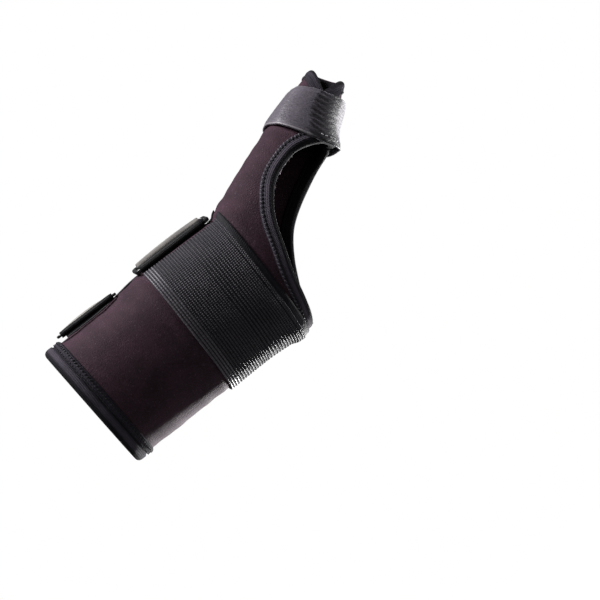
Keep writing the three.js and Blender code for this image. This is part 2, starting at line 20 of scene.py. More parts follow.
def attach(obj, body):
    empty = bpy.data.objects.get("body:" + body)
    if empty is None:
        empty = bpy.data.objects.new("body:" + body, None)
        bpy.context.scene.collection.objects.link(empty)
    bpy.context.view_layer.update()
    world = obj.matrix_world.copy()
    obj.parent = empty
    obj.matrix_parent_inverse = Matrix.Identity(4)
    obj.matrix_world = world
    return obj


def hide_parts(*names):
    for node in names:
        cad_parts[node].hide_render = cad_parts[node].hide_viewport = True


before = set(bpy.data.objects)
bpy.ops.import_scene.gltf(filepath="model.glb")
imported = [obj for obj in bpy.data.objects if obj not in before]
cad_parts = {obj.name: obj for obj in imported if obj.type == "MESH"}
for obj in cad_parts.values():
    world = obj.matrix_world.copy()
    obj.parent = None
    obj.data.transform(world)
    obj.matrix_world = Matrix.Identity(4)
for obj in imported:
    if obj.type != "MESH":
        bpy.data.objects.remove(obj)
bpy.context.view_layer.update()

MM = 0.001
HALVINGS = 40
SPAN_SAMPLES = 24
STRAP_SAMPLES = 800
log = logging.getLogger("splint")

Array = np.ndarray
Colour = tuple[float, float, float]


class Slot(Enum):
    """Material slots of the record."""

    NEOPRENE = "neoprene"
    TAPE = "binding_tape"
    ELASTIC = "ribbed_elastic"
    PLASTIC = "ring_plastic"
    WEBBING = "webbing"
    LAMINATE = "laminate"


# Plain numbers


def unit(vectors: Array) -> Array:
    """Vectors of length one."""
    return vectors / np.maximum(np.linalg.norm(vectors, axis=-1, keepdims=True), 1e-9)


def smoothstep(low: float, high: float, value: Array) -> Array:
    """A smooth rise from 0 at low to 1 at high."""
    share = np.clip((np.asarray(value, float) - low) / (high - low), 0, 1)
    return share * share * (3 - 2 * share)


def bump(centre: float, width: float, value: Array) -> Array:
    """A bell of height 1 at centre, almost gone at width from it."""
    return np.exp(-(((np.asarray(value, float) - centre) / (0.5 * width)) ** 2))


def lengths_along(points: Array) -> Array:
    """Length of a line up to each of its points."""
    steps = np.linalg.norm(np.diff(points, axis=0), axis=-1)
    return np.concatenate([[0.0], np.cumsum(steps)])


def sampled(wanted: Array, along: Array, values: Array) -> Array:
    """Rows of three values at the wanted lengths along a line."""
    return np.stack([np.interp(wanted, along, values[:, k]) for k in range(3)], -1)


def smooth_line(points: Array, count: int) -> Array:
    """Samples a smooth curve through points, evenly along it.

    Args:
        points: The points, one row each.
        count: How many samples, from the first point to the last.

    Returns:
        The samples, one row each.
    """
    p = np.asarray(points, float)
    p = np.vstack([2 * p[0] - p[1], p, 2 * p[-1] - p[-2]])
    knots = np.concatenate([[0], np.cumsum(np.linalg.norm(np.diff(p, axis=0), axis=1) ** 0.5)])
    dense = []
    for k in range(1, len(p) - 2):
        t0, t1, t2, t3 = knots[k - 1 : k + 3]
        slope_b = (p[k + 1] - p[k - 1]) / (t2 - t0)
        slope_c = (p[k + 2] - p[k]) / (t3 - t1)
        u = np.linspace(0, 1, SPAN_SAMPLES, endpoint=False)[:, None]
        h = t2 - t1
        dense.append(
            p[k] * (1 + 2 * u) * (1 - u) ** 2
            + slope_b * h * u * (1 - u) ** 2
            + p[k + 1] * u * u * (3 - 2 * u)
            + slope_c * h * u * u * (u - 1)
        )
    line = np.vstack([*dense, p[-2]])
    along = lengths_along(line)
    wanted = np.linspace(0, along[-1], count)
    return np.stack([np.interp(wanted, along, line[:, k]) for k in range(line.shape[1])], -1)


# The form that everything lies on


@dataclass
class SleeveForm:
    """The sleeve's outer face: a smooth tube from the cuff to the thumb end, in millimetres.

    A place on it is a row of the section table and a turn in degrees: 0 at the thumb side, 90 on
    the palm side, 180 at the little-finger side and 270 on the back.

    Attributes:
        forearm_length: From the wrist's centre to the cuff.
        cuff_width: Width at the cuff.
        cuff_depth: Depth at the cuff.
        cuff_slant: How far the cuff's edge slants over its width.
        wrist_width: Width at the wrist.
        wrist_depth: Depth at the wrist.
        heel_width: Width at the heel of the hand.
        heel_reach: From the wrist's centre to the heel of the hand.
        thumb_reach: From the wrist's centre to the thumb end, along X.
        thumb_rise: Height of the thumb end.
        thumb_palm: How far the thumb end lies to the palm side.
        thumb_width: Width at the root of the thumb.
        thumb_end_width: Width at the thumb end.
        thumb_end_depth: Depth at the thumb end.
        notch_depth: Depth of the V between the flaps.
        wall: Thickness of the neoprene.
        roundness: Power of the superellipse of each section.
        table: The sections.
    """

    forearm_length: float = 88
    cuff_width: float = 71
    cuff_depth: float = 59
    cuff_slant: float = 4
    wrist_width: float = 72.5
    wrist_depth: float = 51
    heel_width: float = 76.5
    heel_reach: float = 25
    thumb_reach: float = 121.5
    thumb_rise: float = 62
    thumb_palm: float = 39
    thumb_width: float = 36
    thumb_end_width: float = 19.5
    thumb_end_depth: float = 24
    notch_depth: float = 11
    wall: float = 3
    roundness: float = 2.3
    table: Array = field(init=False)

    WRIST = 3
    THUMB_ROOT = 8
    THUMB_END = 10

    def __post_init__(self) -> None:
        """Works out the section table: x, y, z, width, depth, lean and turn to the palm."""
        reach, rise, palm = self.thumb_reach, self.thumb_rise, self.thumb_palm
        cuff, wrist, heel = self.cuff_width, self.wrist_width, self.heel_width
        deep, thumb = self.wrist_depth, self.thumb_width
        end, end_deep = self.thumb_end_width, self.thumb_end_depth
        self.table = np.array(
            [
                (-1.06 * self.forearm_length, 0, -0.021 * cuff, cuff, 1.01 * self.cuff_depth, 0, 0),
                (-0.62 * self.forearm_length, 0, -0.02 * cuff, 0.995 * cuff, 0.96 * self.cuff_depth, 0, 0),
                (-0.32 * self.forearm_length, 0, 0, 1.01 * wrist, 1.04 * deep, 0, 0),
                (0, 0, 0, wrist, deep, 0, 0),
                (0.76 * self.heel_reach, 0, -0.009 * wrist, 1.018 * wrist, 0.98 * deep, 0, 0),
                (self.heel_reach, 0.01 * palm, 0.019 * rise, heel, 0.97 * deep, 0, 0),
                (0.42 * reach, 0.08 * palm, 0.117 * rise, 1.06 * heel, 0.87 * deep, 8, 7),
                (0.605 * reach, 0.28 * palm, 0.41 * rise, 1.69 * thumb, 0.78 * deep, 19, 16),
                (0.73 * reach, 0.56 * palm, 0.714 * rise, thumb, thumb, 28, 25),
                (0.889 * reach, 0.82 * palm, 0.882 * rise, 0.735 * thumb, 0.81 * thumb, 30, 28),
                (reach, palm, rise, end, end_deep, 34, 28),
                (1.1 * reach, 1.17 * palm, 1.12 * rise, 0.9 * end, 0.9 * end_deep, 34, 28),
            ]
        )

    def section(self, row: Array) -> Array:
        """Sections between the table's rows, on a smooth curve through them.

        Args:
            row: Places along the table.

        Returns:
            The table's columns at each.
        """
        row = np.asarray(row, float)
        last = len(self.table) - 1
        low = np.clip(np.floor(row).astype(int), 0, last - 1)
        u = (row - low)[..., None]
        a, b, c, d = (self.table[np.clip(low + k, 0, last)] for k in (-1, 0, 1, 2))
        slope_b = np.where((low > 0)[..., None], (c - a) / 2, c - b)
        slope_c = np.where((low < last - 1)[..., None], (d - b) / 2, c - b)
        rise = c - b
        bend = slope_b + slope_c - 2 * rise
        return b + u * (slope_b + u * (3 * rise - 2 * slope_b - slope_c + u * bend))

    def turn_of(self, angle: Array) -> Array:
        """The turn of a point that the solids give by the angle of their superellipse.

        Args:
            angle: Angles in degrees.

        Returns:
            The turns in degrees.
        """
        angle = np.asarray(angle, float)
        quarter = np.floor(angle / 90)
        rest = np.radians(angle - 90 * quarter)
        power = 2 / self.roundness
        odd = np.mod(quarter, 2) == 1
        across = np.where(odd, np.sin(rest), np.cos(rest)) ** power
        through = np.where(odd, np.cos(rest), np.sin(rest)) ** power
        inside = np.degrees(np.where(odd, np.arctan2(across, through), np.arctan2(through, across)))
        return 90 * quarter + inside

    def place(self, row: Array, turn: Array, offset: Array = 0.0) -> Array:
        """Points of the face, moved out by offset.

        Args:
            row: Places along the table.
            turn: Turns in degrees.
            offset: Distances out of the face.

        Returns:
            One point for each, in millimetres.
        """
        row, turn, offset = np.broadcast_arrays(*(np.asarray(v, float) for v in (row, turn, offset)))
        at = self.section(row)
        lean, to_palm = np.radians(at[..., 5]), np.radians(at[..., 6])
        none = np.zeros_like(lean)
        ahead = np.stack([np.cos(lean), none, np.sin(lean)], -1)
        across = np.stack([-np.sin(lean), none, np.cos(lean)], -1)
        through = np.stack([none, np.cos(to_palm), none], -1) - ahead * np.sin(to_palm)[..., None]
        c, s = np.cos(np.radians(turn)), np.sin(np.radians(turn))
        reach = (np.abs(c) ** self.roundness + np.abs(s) ** self.roundness) ** (-1 / self.roundness)
        wide = (at[..., 3] / 2 + offset) * reach * c
        deep = (at[..., 4] / 2 + offset) * reach * s
        return at[..., :3] + across * wide[..., None] + through * deep[..., None]

    def ways(self, row: Array, turn: Array) -> tuple[Array, Array]:
        """How fast a point moves with its row and with its turn.

        Args:
            row: Places along the table.
            turn: Turns in degrees.

        Returns:
            Its change for one row and for one degree.
        """
        step_row, step_turn = 0.02, 0.6
        by_row = (self.place(row + step_row, turn) - self.place(row - step_row, turn)) / (2 * step_row)
        by_turn = (self.place(row, turn + step_turn) - self.place(row, turn - step_turn)) / (2 * step_turn)
        return by_row, by_turn

    def normal(self, row: Array, turn: Array) -> Array:
        """The face's outward direction."""
        by_row, by_turn = self.ways(np.asarray(row, float), np.asarray(turn, float))
        return unit(np.cross(by_row, by_turn))

    def walk(self, row: Array, turn: Array, way: Array, distance: float) -> tuple[Array, Array]:
        """Moves places over the face.

        Args:
            row: Where each starts.
            turn: Where each starts.
            way: The direction each goes in, a vector that is flattened onto the face.
            distance: How far each goes, in millimetres.

        Returns:
            The rows and turns where they end.
        """
        stride = 0.8
        steps = max(1, math.ceil(abs(distance) / stride))
        row, turn = np.array(row, float), np.array(turn, float)
        for _ in range(steps):
            by_row, by_turn = self.ways(row, turn)
            out = unit(np.cross(by_row, by_turn))
            flat = unit(way - out * np.sum(way * out, -1, keepdims=True)) * (distance / steps)
            rr = np.sum(by_row * by_row, -1)
            rt = np.sum(by_row * by_turn, -1)
            tt = np.sum(by_turn * by_turn, -1)
            fr, ft = np.sum(flat * by_row, -1), np.sum(flat * by_turn, -1)
            det = np.maximum(rr * tt - rt * rt, 1e-9)
            row = row + (fr * tt - ft * rt) / det
            turn = turn + (ft * rr - fr * rt) / det
        return row, turn

    def row_at(self, x: Array) -> Array:
        """The row of the forearm's section at x, on a straight line between the table's rows."""
        return np.interp(x, self.table[:, 0], np.arange(len(self.table)))

    def row_where(self, test: Callable[[Array], Array], low: float, high: float, count: int) -> Array:
        """The row at which a value changes sign, for each of several turns.

        Args:
            test: Gives a value for each row, below zero before the place looked for.
            low: A row before it.
            high: A row past it.
            count: How many turns there are.

        Returns:
            One row for each turn.
        """
        a, b = np.full(count, low), np.full(count, high)
        for _ in range(HALVINGS):
            middle = (a + b) / 2
            before = test(middle) < 0
            a, b = np.where(before, middle, a), np.where(before, b, middle)
        return (a + b) / 2

    def cuff_rows(self, turns: Array) -> Array:
        """Rows of the slanted edge of the cuff.

        Args:
            turns: Turns in degrees.

        Returns:
            One row for each.
        """

        def past(rows: Array) -> Array:
            """How far a place lies inside the edge."""
            at = self.place(rows, turns)
            return at[:, 0] - (-self.forearm_length + self.cuff_slant * (0.5 - at[:, 2] / self.cuff_width))

        return self.row_where(past, -0.5, 1.0, len(turns))

    def flap_rows(self, turns: Array) -> Array:
        """Rows of the thumb end's edge, with its V on the back.

        Args:
            turns: Turns in degrees.

        Returns:
            One row for each.
        """
        end = self.section(np.array(float(self.THUMB_END)))
        lean = math.radians(end[5])
        ahead = np.array([math.cos(lean), 0, math.sin(lean)])
        across = np.array([-math.sin(lean), 0, math.cos(lean)])
        back = np.mod(turns, 360) > 180
        sides = [-1.6, -1.25, -0.98, -0.6, -0.3, 0.02, 0.25, 0.5, 0.92, 1.25, 1.6]
        notched = [0.3, 0.16, 0, 0.35, 0.72, 1, 0.76, 0.42, 0, 0.12, 0.25]
        plain = [0.3, 0.16, 0, 0, 0, 0, 0, 0, 0, 0.12, 0.25]

        def past(rows: Array) -> Array:
            """How far places lie past the edge.

            Args:
                rows: One row for each turn.

            Returns:
                The distances, below zero inside the edge.
            """
            away = self.place(rows, turns) - end[:3]
            side = away @ across / (end[3] / 2)
            deep = np.where(back, np.interp(side, sides, notched), np.interp(side, sides, plain))
            return away @ ahead + deep * self.notch_depth

        return self.row_where(past, 8.6, 11.0, len(turns))


FORM = SleeveForm()


# Meshes


def stand(name: str, data: bpy.types.ID) -> bpy.types.Object:
    """An object of the data, linked to the scene."""
    made = bpy.data.objects.new(name, data)
    bpy.context.scene.collection.objects.link(made)
    return made


def quads(rows: int, columns: int, i: Array, j: Array) -> Array:
    """Joins the points of a grid to quads.

    Args:
        rows: Rows of the grid.
        columns: Its columns.
        i: The row where each quad starts.
        j: The column where it starts.

    Returns:
        Four point numbers for each. Past the last row or column they run on at the first.
    """
    corners = ((0, 0), (1, 0), (1, 1), (0, 1))
    return np.stack([(i + a) % rows * columns + (j + b) % columns for a, b in corners], -1)


def cloth_map(along: Array, across: Array) -> Array:
    """Places in a cloth's own map, from lengths along it and across it."""
    return np.stack(np.broadcast_arrays(along, across), -1)


@dataclass
class Piece:
    """One named piece of the scene, kept with what it stands for.

    Attributes:
        name: Its own name.
        slot: The record's slot that it is finished as.
        nodes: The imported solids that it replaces.
    """

    name: str
    slot: Slot
    nodes: tuple[str, ...] = ()

    def add(
        self,
        points: Array,
        faces: Sequence[Sequence[int]],
        material: bpy.types.Material,
        uv: Optional[Array] = None,
        marks: Optional[dict[str, Array]] = None,
    ) -> bpy.types.Object:
        """Makes the piece from its points and faces and seats it in the frame.

        Args:
            points: Its points, in millimetres.
            faces: Its faces, by point.
            material: Its finish.
            uv: A place in the cloth for each point, in millimetres along and across.
            marks: Named values for each point.

        Returns:
            The finished object.
        """
        mesh = bpy.data.meshes.new(self.name)
        mesh.from_pydata((np.asarray(points) * MM).tolist(), [], [list(map(int, f)) for f in faces])
        mesh.materials.append(material)
        mesh.shade_smooth()
        corners = np.zeros(len(mesh.loops), int)
        mesh.loops.foreach_get("vertex_index", corners)
        if uv is not None:
            layer = mesh.uv_layers.new(name="cloth")
            layer.data.foreach_set("uv", np.asarray(uv, np.float32)[corners].ravel())
        for mark, values in (marks or {}).items():
            held = mesh.attributes.new(mark, "FLOAT", "POINT").data
            held.foreach_set("value", np.asarray(values, np.float32))
        mesh.validate()
        mesh.update()
        return self.seat(mesh)

    def seat(self, mesh: bpy.types.Mesh) -> bpy.types.Object:
        """Stands a mesh in the scene, lets it ride on the part, hides the solids it replaces and logs its
        slot.

        Args:
            mesh: The finished mesh.

        Returns:
            Its object.
        """
        made = stand(self.name, mesh)
        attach(made, "root")
        if self.nodes:
            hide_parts(*self.nodes)
        log.info("%s: %d faces, %s", self.name, len(made.data.polygons), self.slot.value)
        return made


@dataclass
class Shell:
    """A sheet with a thickness, from a grid of points on its outer and on its inner face.

    Attributes:
        outer: Points by row, column and axis.
        inner: The same, on the inner face.
        round_rows: Whether the last row runs on into the first.
        round_columns: Whether the last column runs on into the first.
        keep: Which cells are there, or None for all.
    """

    outer: Array
    inner: Array
    round_rows: bool = False
    round_columns: bool = False
    keep: Optional[Array] = None

    def points(self) -> Array:
        """All points, the outer ones first."""
        return np.vstack([self.outer.reshape(-1, 3), self.inner.reshape(-1, 3)])

    def faces(self) -> Array:
        """Joins the points to quads of both faces and of every rim between them.

        Returns:
            Four point numbers for each quad. They face out where the ways along the rows and the
            columns and the way out turn like X, Y and Z.
        """
        rows, columns = self.outer.shape[:2]
        i = np.arange(rows if self.round_rows else rows - 1)
        j = np.arange(columns if self.round_columns else columns - 1)
        i, j = np.meshgrid(i, j, indexing="ij")
        if self.keep is not None:
            i, j = i[self.keep], j[self.keep]
        front = quads(rows, columns, i.ravel(), j.ravel())
        edges = np.concatenate([front[:, [k, (k + 1) % 4]] for k in range(4)])
        total = rows * columns
        key, back = edges[:, 0] * total + edges[:, 1], edges[:, 1] * total + edges[:, 0]
        rim = edges[~np.isin(key, back)]
        walls = np.stack([rim[:, 1], rim[:, 0], rim[:, 0] + total, rim[:, 1] + total], -1)
        return np.concatenate([front, front[:, ::-1] + total, walls])

    def make(
        self, piece: Piece, material: bpy.types.Material, uv: Array, **marks: Array
    ) -> bpy.types.Object:
        """Makes a piece of the sheet.

        Args:
            piece: The piece to make.
            material: Its finish.
            uv: Places in the cloth, for each point of the outer face.
            **marks: Named values, for each point of the outer face.

        Returns:
            The finished object.
        """
        doubled = {mark: np.tile(values.ravel(), 2) for mark, values in marks.items()}
        flat = np.tile(uv.reshape(-1, 2), (2, 1))
        return piece.add(self.points(), self.faces(), material, flat, doubled)


# Node trees


class Nodes:
    """Short calls for building a node tree.

    Attributes:
        tree: The tree being built.
    """

    def __init__(self, tree: bpy.types.NodeTree) -> None:
        """Starts on a tree."""
        self.tree = tree

    def add(self, kind: str, links: Optional[dict] = None, **settings: object) -> bpy.types.Node:
        """Adds a node.

        Args:
            kind: Its type.
            links: For each input, by name or number, a socket to link or a value to set.
            **settings: Properties of the node.

        Returns:
            The node.
        """
        node = self.tree.nodes.new(kind)
        for name, value in settings.items():
            setattr(node, name, value)
        for key, value in (links or {}).items():
            if isinstance(value, bpy.types.NodeSocket):
                self.tree.links.new(value, node.inputs[key])
            else:
                node.inputs[key].default_value = value
        return node

    def math(self, operation: str, a: object, b: object = 0.0) -> bpy.types.NodeSocket:
        """A sum, product or other value of two numbers or sockets."""
        return self.add("ShaderNodeMath", {0: a, 1: b}, operation=operation).outputs[0]

    def mix(self, share: object, a: object, b: object) -> bpy.types.NodeSocket:
        """A colour between two."""
        node = self.add("ShaderNodeMix", {0: share, 6: a, 7: b}, data_type="RGBA")
        return node.outputs[2]

    def span(
        self, value: object, low: float, high: float, to_low: float = 0.0, to_high: float = 1.0
    ) -> bpy.types.NodeSocket:
        """A value mapped from one range to another and kept inside it."""
        ends = {1: low, 2: high, 3: to_low, 4: to_high}
        return self.add("ShaderNodeMapRange", {0: value, **ends}).outputs[0]

    def use(self, name: str, values: Optional[dict[str, float]] = None) -> bpy.types.bpy_prop_collection:
        """Outputs of a shared group, added with these values."""
        return self.add("ShaderNodeGroup", values, node_tree=bpy.data.node_groups[name]).outputs

    def surface(self, looks: dict[str, object]) -> None:
        """Closes a material's tree with one shader of these looks."""
        shader = self.add("ShaderNodeBsdfPrincipled", looks)
        self.add("ShaderNodeOutputMaterial", {0: shader.outputs[0]})


def start_material(name: str) -> tuple[bpy.types.Material, Nodes]:
    """Starts a material.

    Args:
        name: Its name.

    Returns:
        The material and the calls for filling its tree.
    """
    made = bpy.data.materials.new(name)
    made.use_nodes = True
    made.node_tree.nodes.clear()
    return made, Nodes(made.node_tree)


def group(name: str, inputs: dict[str, float], outputs: Sequence[str]) -> tuple[bpy.types.NodeTree, Nodes]:
    """Starts a shader node group with plain number sockets.

    Args:
        name: Its name.
        inputs: Names and first values of its inputs.
        outputs: Names of its outputs.

    Returns:
        The group and the calls for filling it.
    """
    tree = bpy.data.node_groups.new(name, "ShaderNodeTree")
    for key, value in inputs.items():
        tree.interface.new_socket(key, in_out="INPUT", socket_type="NodeSocketFloat").default_value = value
    for key in outputs:
        tree.interface.new_socket(key, in_out="OUTPUT", socket_type="NodeSocketFloat")
    return tree, Nodes(tree)


def mottle_group() -> bpy.types.NodeTree:
    """Cloudy and grainy unevenness of cloth that shows use and handling, in Object coordinates.

    Returns:
        The group.
    """
    tree, n = group("mottle", {"Cloud size": 12.0, "Grain size": 0.9, "Seed": 0.0}, ("Cloud", "Grain"))
    inside = n.add("NodeGroupInput").outputs
    place = n.add("ShaderNodeTexCoord").outputs["Object"]
    values = {}
    for key, detail in (("Cloud", 4.0), ("Grain", 2.0)):
        scale = n.math("DIVIDE", 1 / MM, inside[f"{key} size"])
        noise = n.add(
            "ShaderNodeTexNoise",
            {"Vector": place, "W": inside["Seed"], "Scale": scale, "Detail": detail, "Roughness": 0.55},
            noise_dimensions="4D",
        )
        values[key] = n.span(noise.outputs["Fac"], 0.3, 0.7)
    n.add("NodeGroupOutput", values)
    return tree


def rows_group() -> bpy.types.NodeTree:
    """Threads that run along and across the cloth's own map, in millimetres.

    Returns:
        The group.
    """
    tree, n = group(
        "threads",
        {"Along pitch": 1.0, "Across pitch": 1.0, "Slant": 0.0, "Waver": 0.1},
        ("Along", "Across", "Woven"),
    )
    inside = n.add("NodeGroupInput").outputs
    uv = n.add("ShaderNodeUVMap", uv_map="cloth").outputs[0]
    flat = n.add("ShaderNodeSeparateXYZ", {0: uv}).outputs
    noise = n.add("ShaderNodeTexNoise", {"Vector": uv, "Scale": 0.6, "Detail": 1.0}).outputs["Fac"]
    waver = n.math("MULTIPLY", n.math("SUBTRACT", noise, 0.5), inside["Waver"])
    along = n.math("ADD", n.math("ADD", flat[0], waver), n.math("MULTIPLY", flat[1], inside["Slant"]))
    across = n.math("ADD", flat[1], waver)
    waves = []
    for value, pitch in ((along, "Along pitch"), (across, "Across pitch")):
        turns = n.math("MULTIPLY", n.math("DIVIDE", value, inside[pitch]), 2 * math.pi)
        waves.append(n.math("MULTIPLY_ADD", n.math("SINE", turns), 0.5))
        waves[-1].node.inputs[2].default_value = 0.5
    woven = n.math("MULTIPLY", waves[0], waves[1])
    n.add("NodeGroupOutput", {"Along": waves[0], "Across": waves[1], "Woven": woven})
    return tree


def knit_group() -> bpy.types.NodeTree:
    """Fine loops of a jersey knit, as small cells in Object coordinates.

    Returns:
        The group.
    """
    tree, n = group("knit", {"Loop size": 0.6}, ("Loops",))
    inside = n.add("NodeGroupInput").outputs
    place = n.add("ShaderNodeTexCoord").outputs["Object"]
    scale = n.math("DIVIDE", 1 / MM, inside["Loop size"])
    looks = {"Vector": place, "Scale": scale, "Randomness": 0.75}
    cells = n.add("ShaderNodeTexVoronoi", looks, feature="F1")
    n.add("NodeGroupOutput", {"Loops": n.span(cells.outputs["Distance"], 0.05, 0.75, 1.0, 0.0)})
    return tree


def nap_group() -> bpy.types.NodeTree:
    """Brushed fibres that lie along the cloth's own map, and rare specks that catch the light.

    Returns:
        The group.
    """
    tree, n = group(
        "nap", {"Fibre length": 5.0, "Fibre width": 0.5, "Speck size": 0.8}, ("Fibres", "Specks")
    )
    inside = n.add("NodeGroupInput").outputs
    uv = n.add("ShaderNodeUVMap", uv_map="cloth").outputs[0]
    flat = n.add("ShaderNodeSeparateXYZ", {0: uv}).outputs
    along = n.math("DIVIDE", flat[0], inside["Fibre length"])
    across = n.math("DIVIDE", flat[1], inside["Fibre width"])
    drawn = n.add("ShaderNodeCombineXYZ", {0: along, 1: across}).outputs[0]
    fibres = n.add("ShaderNodeTexNoise", {"Vector": drawn, "Scale": 1.0, "Detail": 3.0}).outputs["Fac"]
    place = n.add("ShaderNodeTexCoord").outputs["Object"]
    scale = n.math("DIVIDE", 1 / MM, inside["Speck size"])
    cells = n.add("ShaderNodeTexVoronoi", {"Vector": place, "Scale": scale}, feature="F1")
    chance = n.add("ShaderNodeSeparateColor", {0: cells.outputs["Color"]}).outputs[0]
    rare = n.math("GREATER_THAN", chance, 0.9)
    small = n.span(cells.outputs["Distance"], 0.2, 0.45, 1.0, 0.0)
    specks = n.math("MULTIPLY", rare, small)
    n.add("NodeGroupOutput", {"Fibres": n.span(fibres, 0.32, 0.68), "Specks": specks})
    return tree


# What repeats, by geometry nodes


class RuleTree:
    """A geometry node tree whose result becomes a plain piece.

    Attributes:
        tree: The tree.
        n: Calls for filling it.
    """

    def __init__(self, name: str, inputs: dict[str, tuple[str, object]]) -> None:
        """Starts a tree with a mesh input, further named inputs and a mesh output.

        Args:
            name: The tree's name.
            inputs: For each further input, its socket type and first value.
        """
        self.tree = bpy.data.node_groups.new(name, "GeometryNodeTree")
        face = self.tree.interface
        face.new_socket("Geometry", in_out="INPUT", socket_type="NodeSocketGeometry")
        for key, (kind, value) in inputs.items():
            socket = face.new_socket(key, in_out="INPUT", socket_type=kind)
            if value is not None:
                socket.default_value = value
        face.new_socket("Geometry", in_out="OUTPUT", socket_type="NodeSocketGeometry")
        self.n = Nodes(self.tree)
        self.inside = self.n.add("NodeGroupInput").outputs

    def end(self, made: bpy.types.NodeSocket) -> None:
        """Closes the tree: realises, smooths and gives the material.

        Args:
            made: What the tree has made.
        """
        real = self.n.add("GeometryNodeRealizeInstances", {0: made}).outputs[0]
        smooth = self.n.add("GeometryNodeSetShadeSmooth", {"Geometry": real}).outputs[0]
        dressed = {"Geometry": smooth, "Material": self.inside["Material"]}
        done = self.n.add("GeometryNodeSetMaterial", dressed)
        self.n.add("NodeGroupOutput", {0: done.outputs[0]})

    def apply(self, piece: Piece, start: bpy.types.Mesh, values: dict[str, object]) -> bpy.types.Object:
        """Runs the tree on a starting mesh and keeps the result as a piece.

        Args:
            piece: The piece to make.
            start: The points or lines that the tree works on.
            values: Values of its inputs, by name.

        Returns:
            The piece's object.
        """
        holder = stand(piece.name + "_rule", start)
        modifier = holder.modifiers.new("rule", "NODES")
        modifier.node_group = self.tree
        names = {s.name: s.identifier for s in self.tree.interface.items_tree if s.in_out == "INPUT"}
        for key, value in values.items():
            modifier[names[key]] = value
        holder.update_tag()
        bpy.context.view_layer.update()
        graph = bpy.context.evaluated_depsgraph_get()
        mesh = bpy.data.meshes.new_from_object(holder.evaluated_get(graph))
        holder.modifiers.remove(modifier)
        bpy.data.objects.remove(holder)
        mesh.name = piece.name
        return piece.seat(mesh)


def point_cloud(name: str, points: Array, along: Array, out: Array) -> bpy.types.Mesh:
    """A mesh of loose points that know the way of their row and the way out of the cloth.

    Args:
        name: Its name.
        points: The points, in millimetres.
        along: The way of the row at each.
        out: The way out of the cloth at each.

    Returns:
        The mesh.
    """
    mesh = bpy.data.meshes.new(name)
    mesh.from_pydata((points * MM).tolist(), [], [])
    for key, values in (("along", along), ("out", out)):
        data = mesh.attributes.new(key, "FLOAT_VECTOR", "POINT").data
        data.foreach_set("vector", np.asarray(values, np.float32).ravel())
    return mesh


def stitch_tree() -> RuleTree:
    """One rounded stitch on each point, lying along its row.

    Returns:
        The rule.
    """
    rule = RuleTree(
        "stitches",
        {
            "Length": ("NodeSocketFloat", 2 * MM),
            "Thickness": ("NodeSocketFloat", 0.5 * MM),
            "Unevenness": ("NodeSocketFloat", 0.1),
            "Seed": ("NodeSocketInt", 1),
            "Material": ("NodeSocketMaterial", None),
        },
    )
    n, inside = rule.n, rule.inside
    ball = n.add("GeometryNodeMeshUVSphere", {"Segments": 8, "Rings": 6, "Radius": 0.5}).outputs[0]
    size = n.add(
        "ShaderNodeCombineXYZ", {0: inside["Thickness"], 1: inside["Thickness"], 2: inside["Length"]}
    ).outputs[0]
    stitch = n.add("GeometryNodeTransform", {"Geometry": ball, "Scale": size}).outputs[0]
    ways = {
        key: n.add("GeometryNodeInputNamedAttribute", {"Name": key}, data_type="FLOAT_VECTOR").outputs[0]
        for key in ("along", "out")
    }
    turned = n.add(
        "FunctionNodeAxesToRotation",
        {"Primary Axis": ways["along"], "Secondary Axis": ways["out"]},
        primary_axis="Z",
        secondary_axis="X",
    ).outputs[0]
    low, high = (n.math(op, 1.0, inside["Unevenness"]) for op in ("SUBTRACT", "ADD"))
    uneven = n.add(
        "FunctionNodeRandomValue", {2: low, 3: high, "Seed": inside["Seed"]}, data_type="FLOAT"
    ).outputs[1]
    placed = n.add(
        "GeometryNodeInstanceOnPoints",
        {"Points": inside["Geometry"], "Instance": stitch, "Rotation": turned, "Scale": uneven},
    ).outputs[0]
    rule.end(placed)
    return rule


def rib_tree() -> RuleTree:
    """A round rib along each line.

    Returns:
        The rule.
    """
    rule = RuleTree(
        "ribs",
        {
            "Radius": ("NodeSocketFloat", 0.5 * MM),
            "Sides": ("NodeSocketInt", 6),
            "Material": ("NodeSocketMaterial", None),
        },
    )
    n, inside = rule.n, rule.inside
    line = n.add("GeometryNodeMeshToCurve", {0: inside["Geometry"]}).outputs[0]
    kept = n.add("GeometryNodeCaptureAttribute", domain="POINT")
    kept.capture_items.new("FLOAT", "Length")
    rule.tree.links.new(line, kept.inputs[0])
    rule.tree.links.new(n.add("GeometryNodeSplineParameter").outputs["Length"], kept.inputs[1])
    ring = n.add(
        "GeometryNodeCurvePrimitiveCircle", {"Resolution": inside["Sides"], "Radius": inside["Radius"]}
    ).outputs[0]
    tube = n.add(
        "GeometryNodeCurveToMesh", {"Curve": kept.outputs[0], "Profile Curve": ring, "Fill Caps": True}
    ).outputs[0]
    place = n.add("ShaderNodeSeparateXYZ", {0: n.add("GeometryNodeInputPosition").outputs[0]}).outputs
    along, across = (n.math("DIVIDE", value, MM) for value in (kept.outputs[1], place[0]))
    cloth = n.add("ShaderNodeCombineXYZ", {0: along, 1: across}).outputs[0]
    mapped = n.add(
        "GeometryNodeStoreNamedAttribute",
        {"Geometry": tube, "Name": "cloth", "Value": cloth},
        data_type="FLOAT2",
        domain="CORNER",
    ).outputs[0]
    rule.end(mapped)
    return rule


# Finishes


def rgba(colour: Colour) -> tuple[float, float, float, float]:
    """A colour with full cover."""
    return (*colour, 1.0)


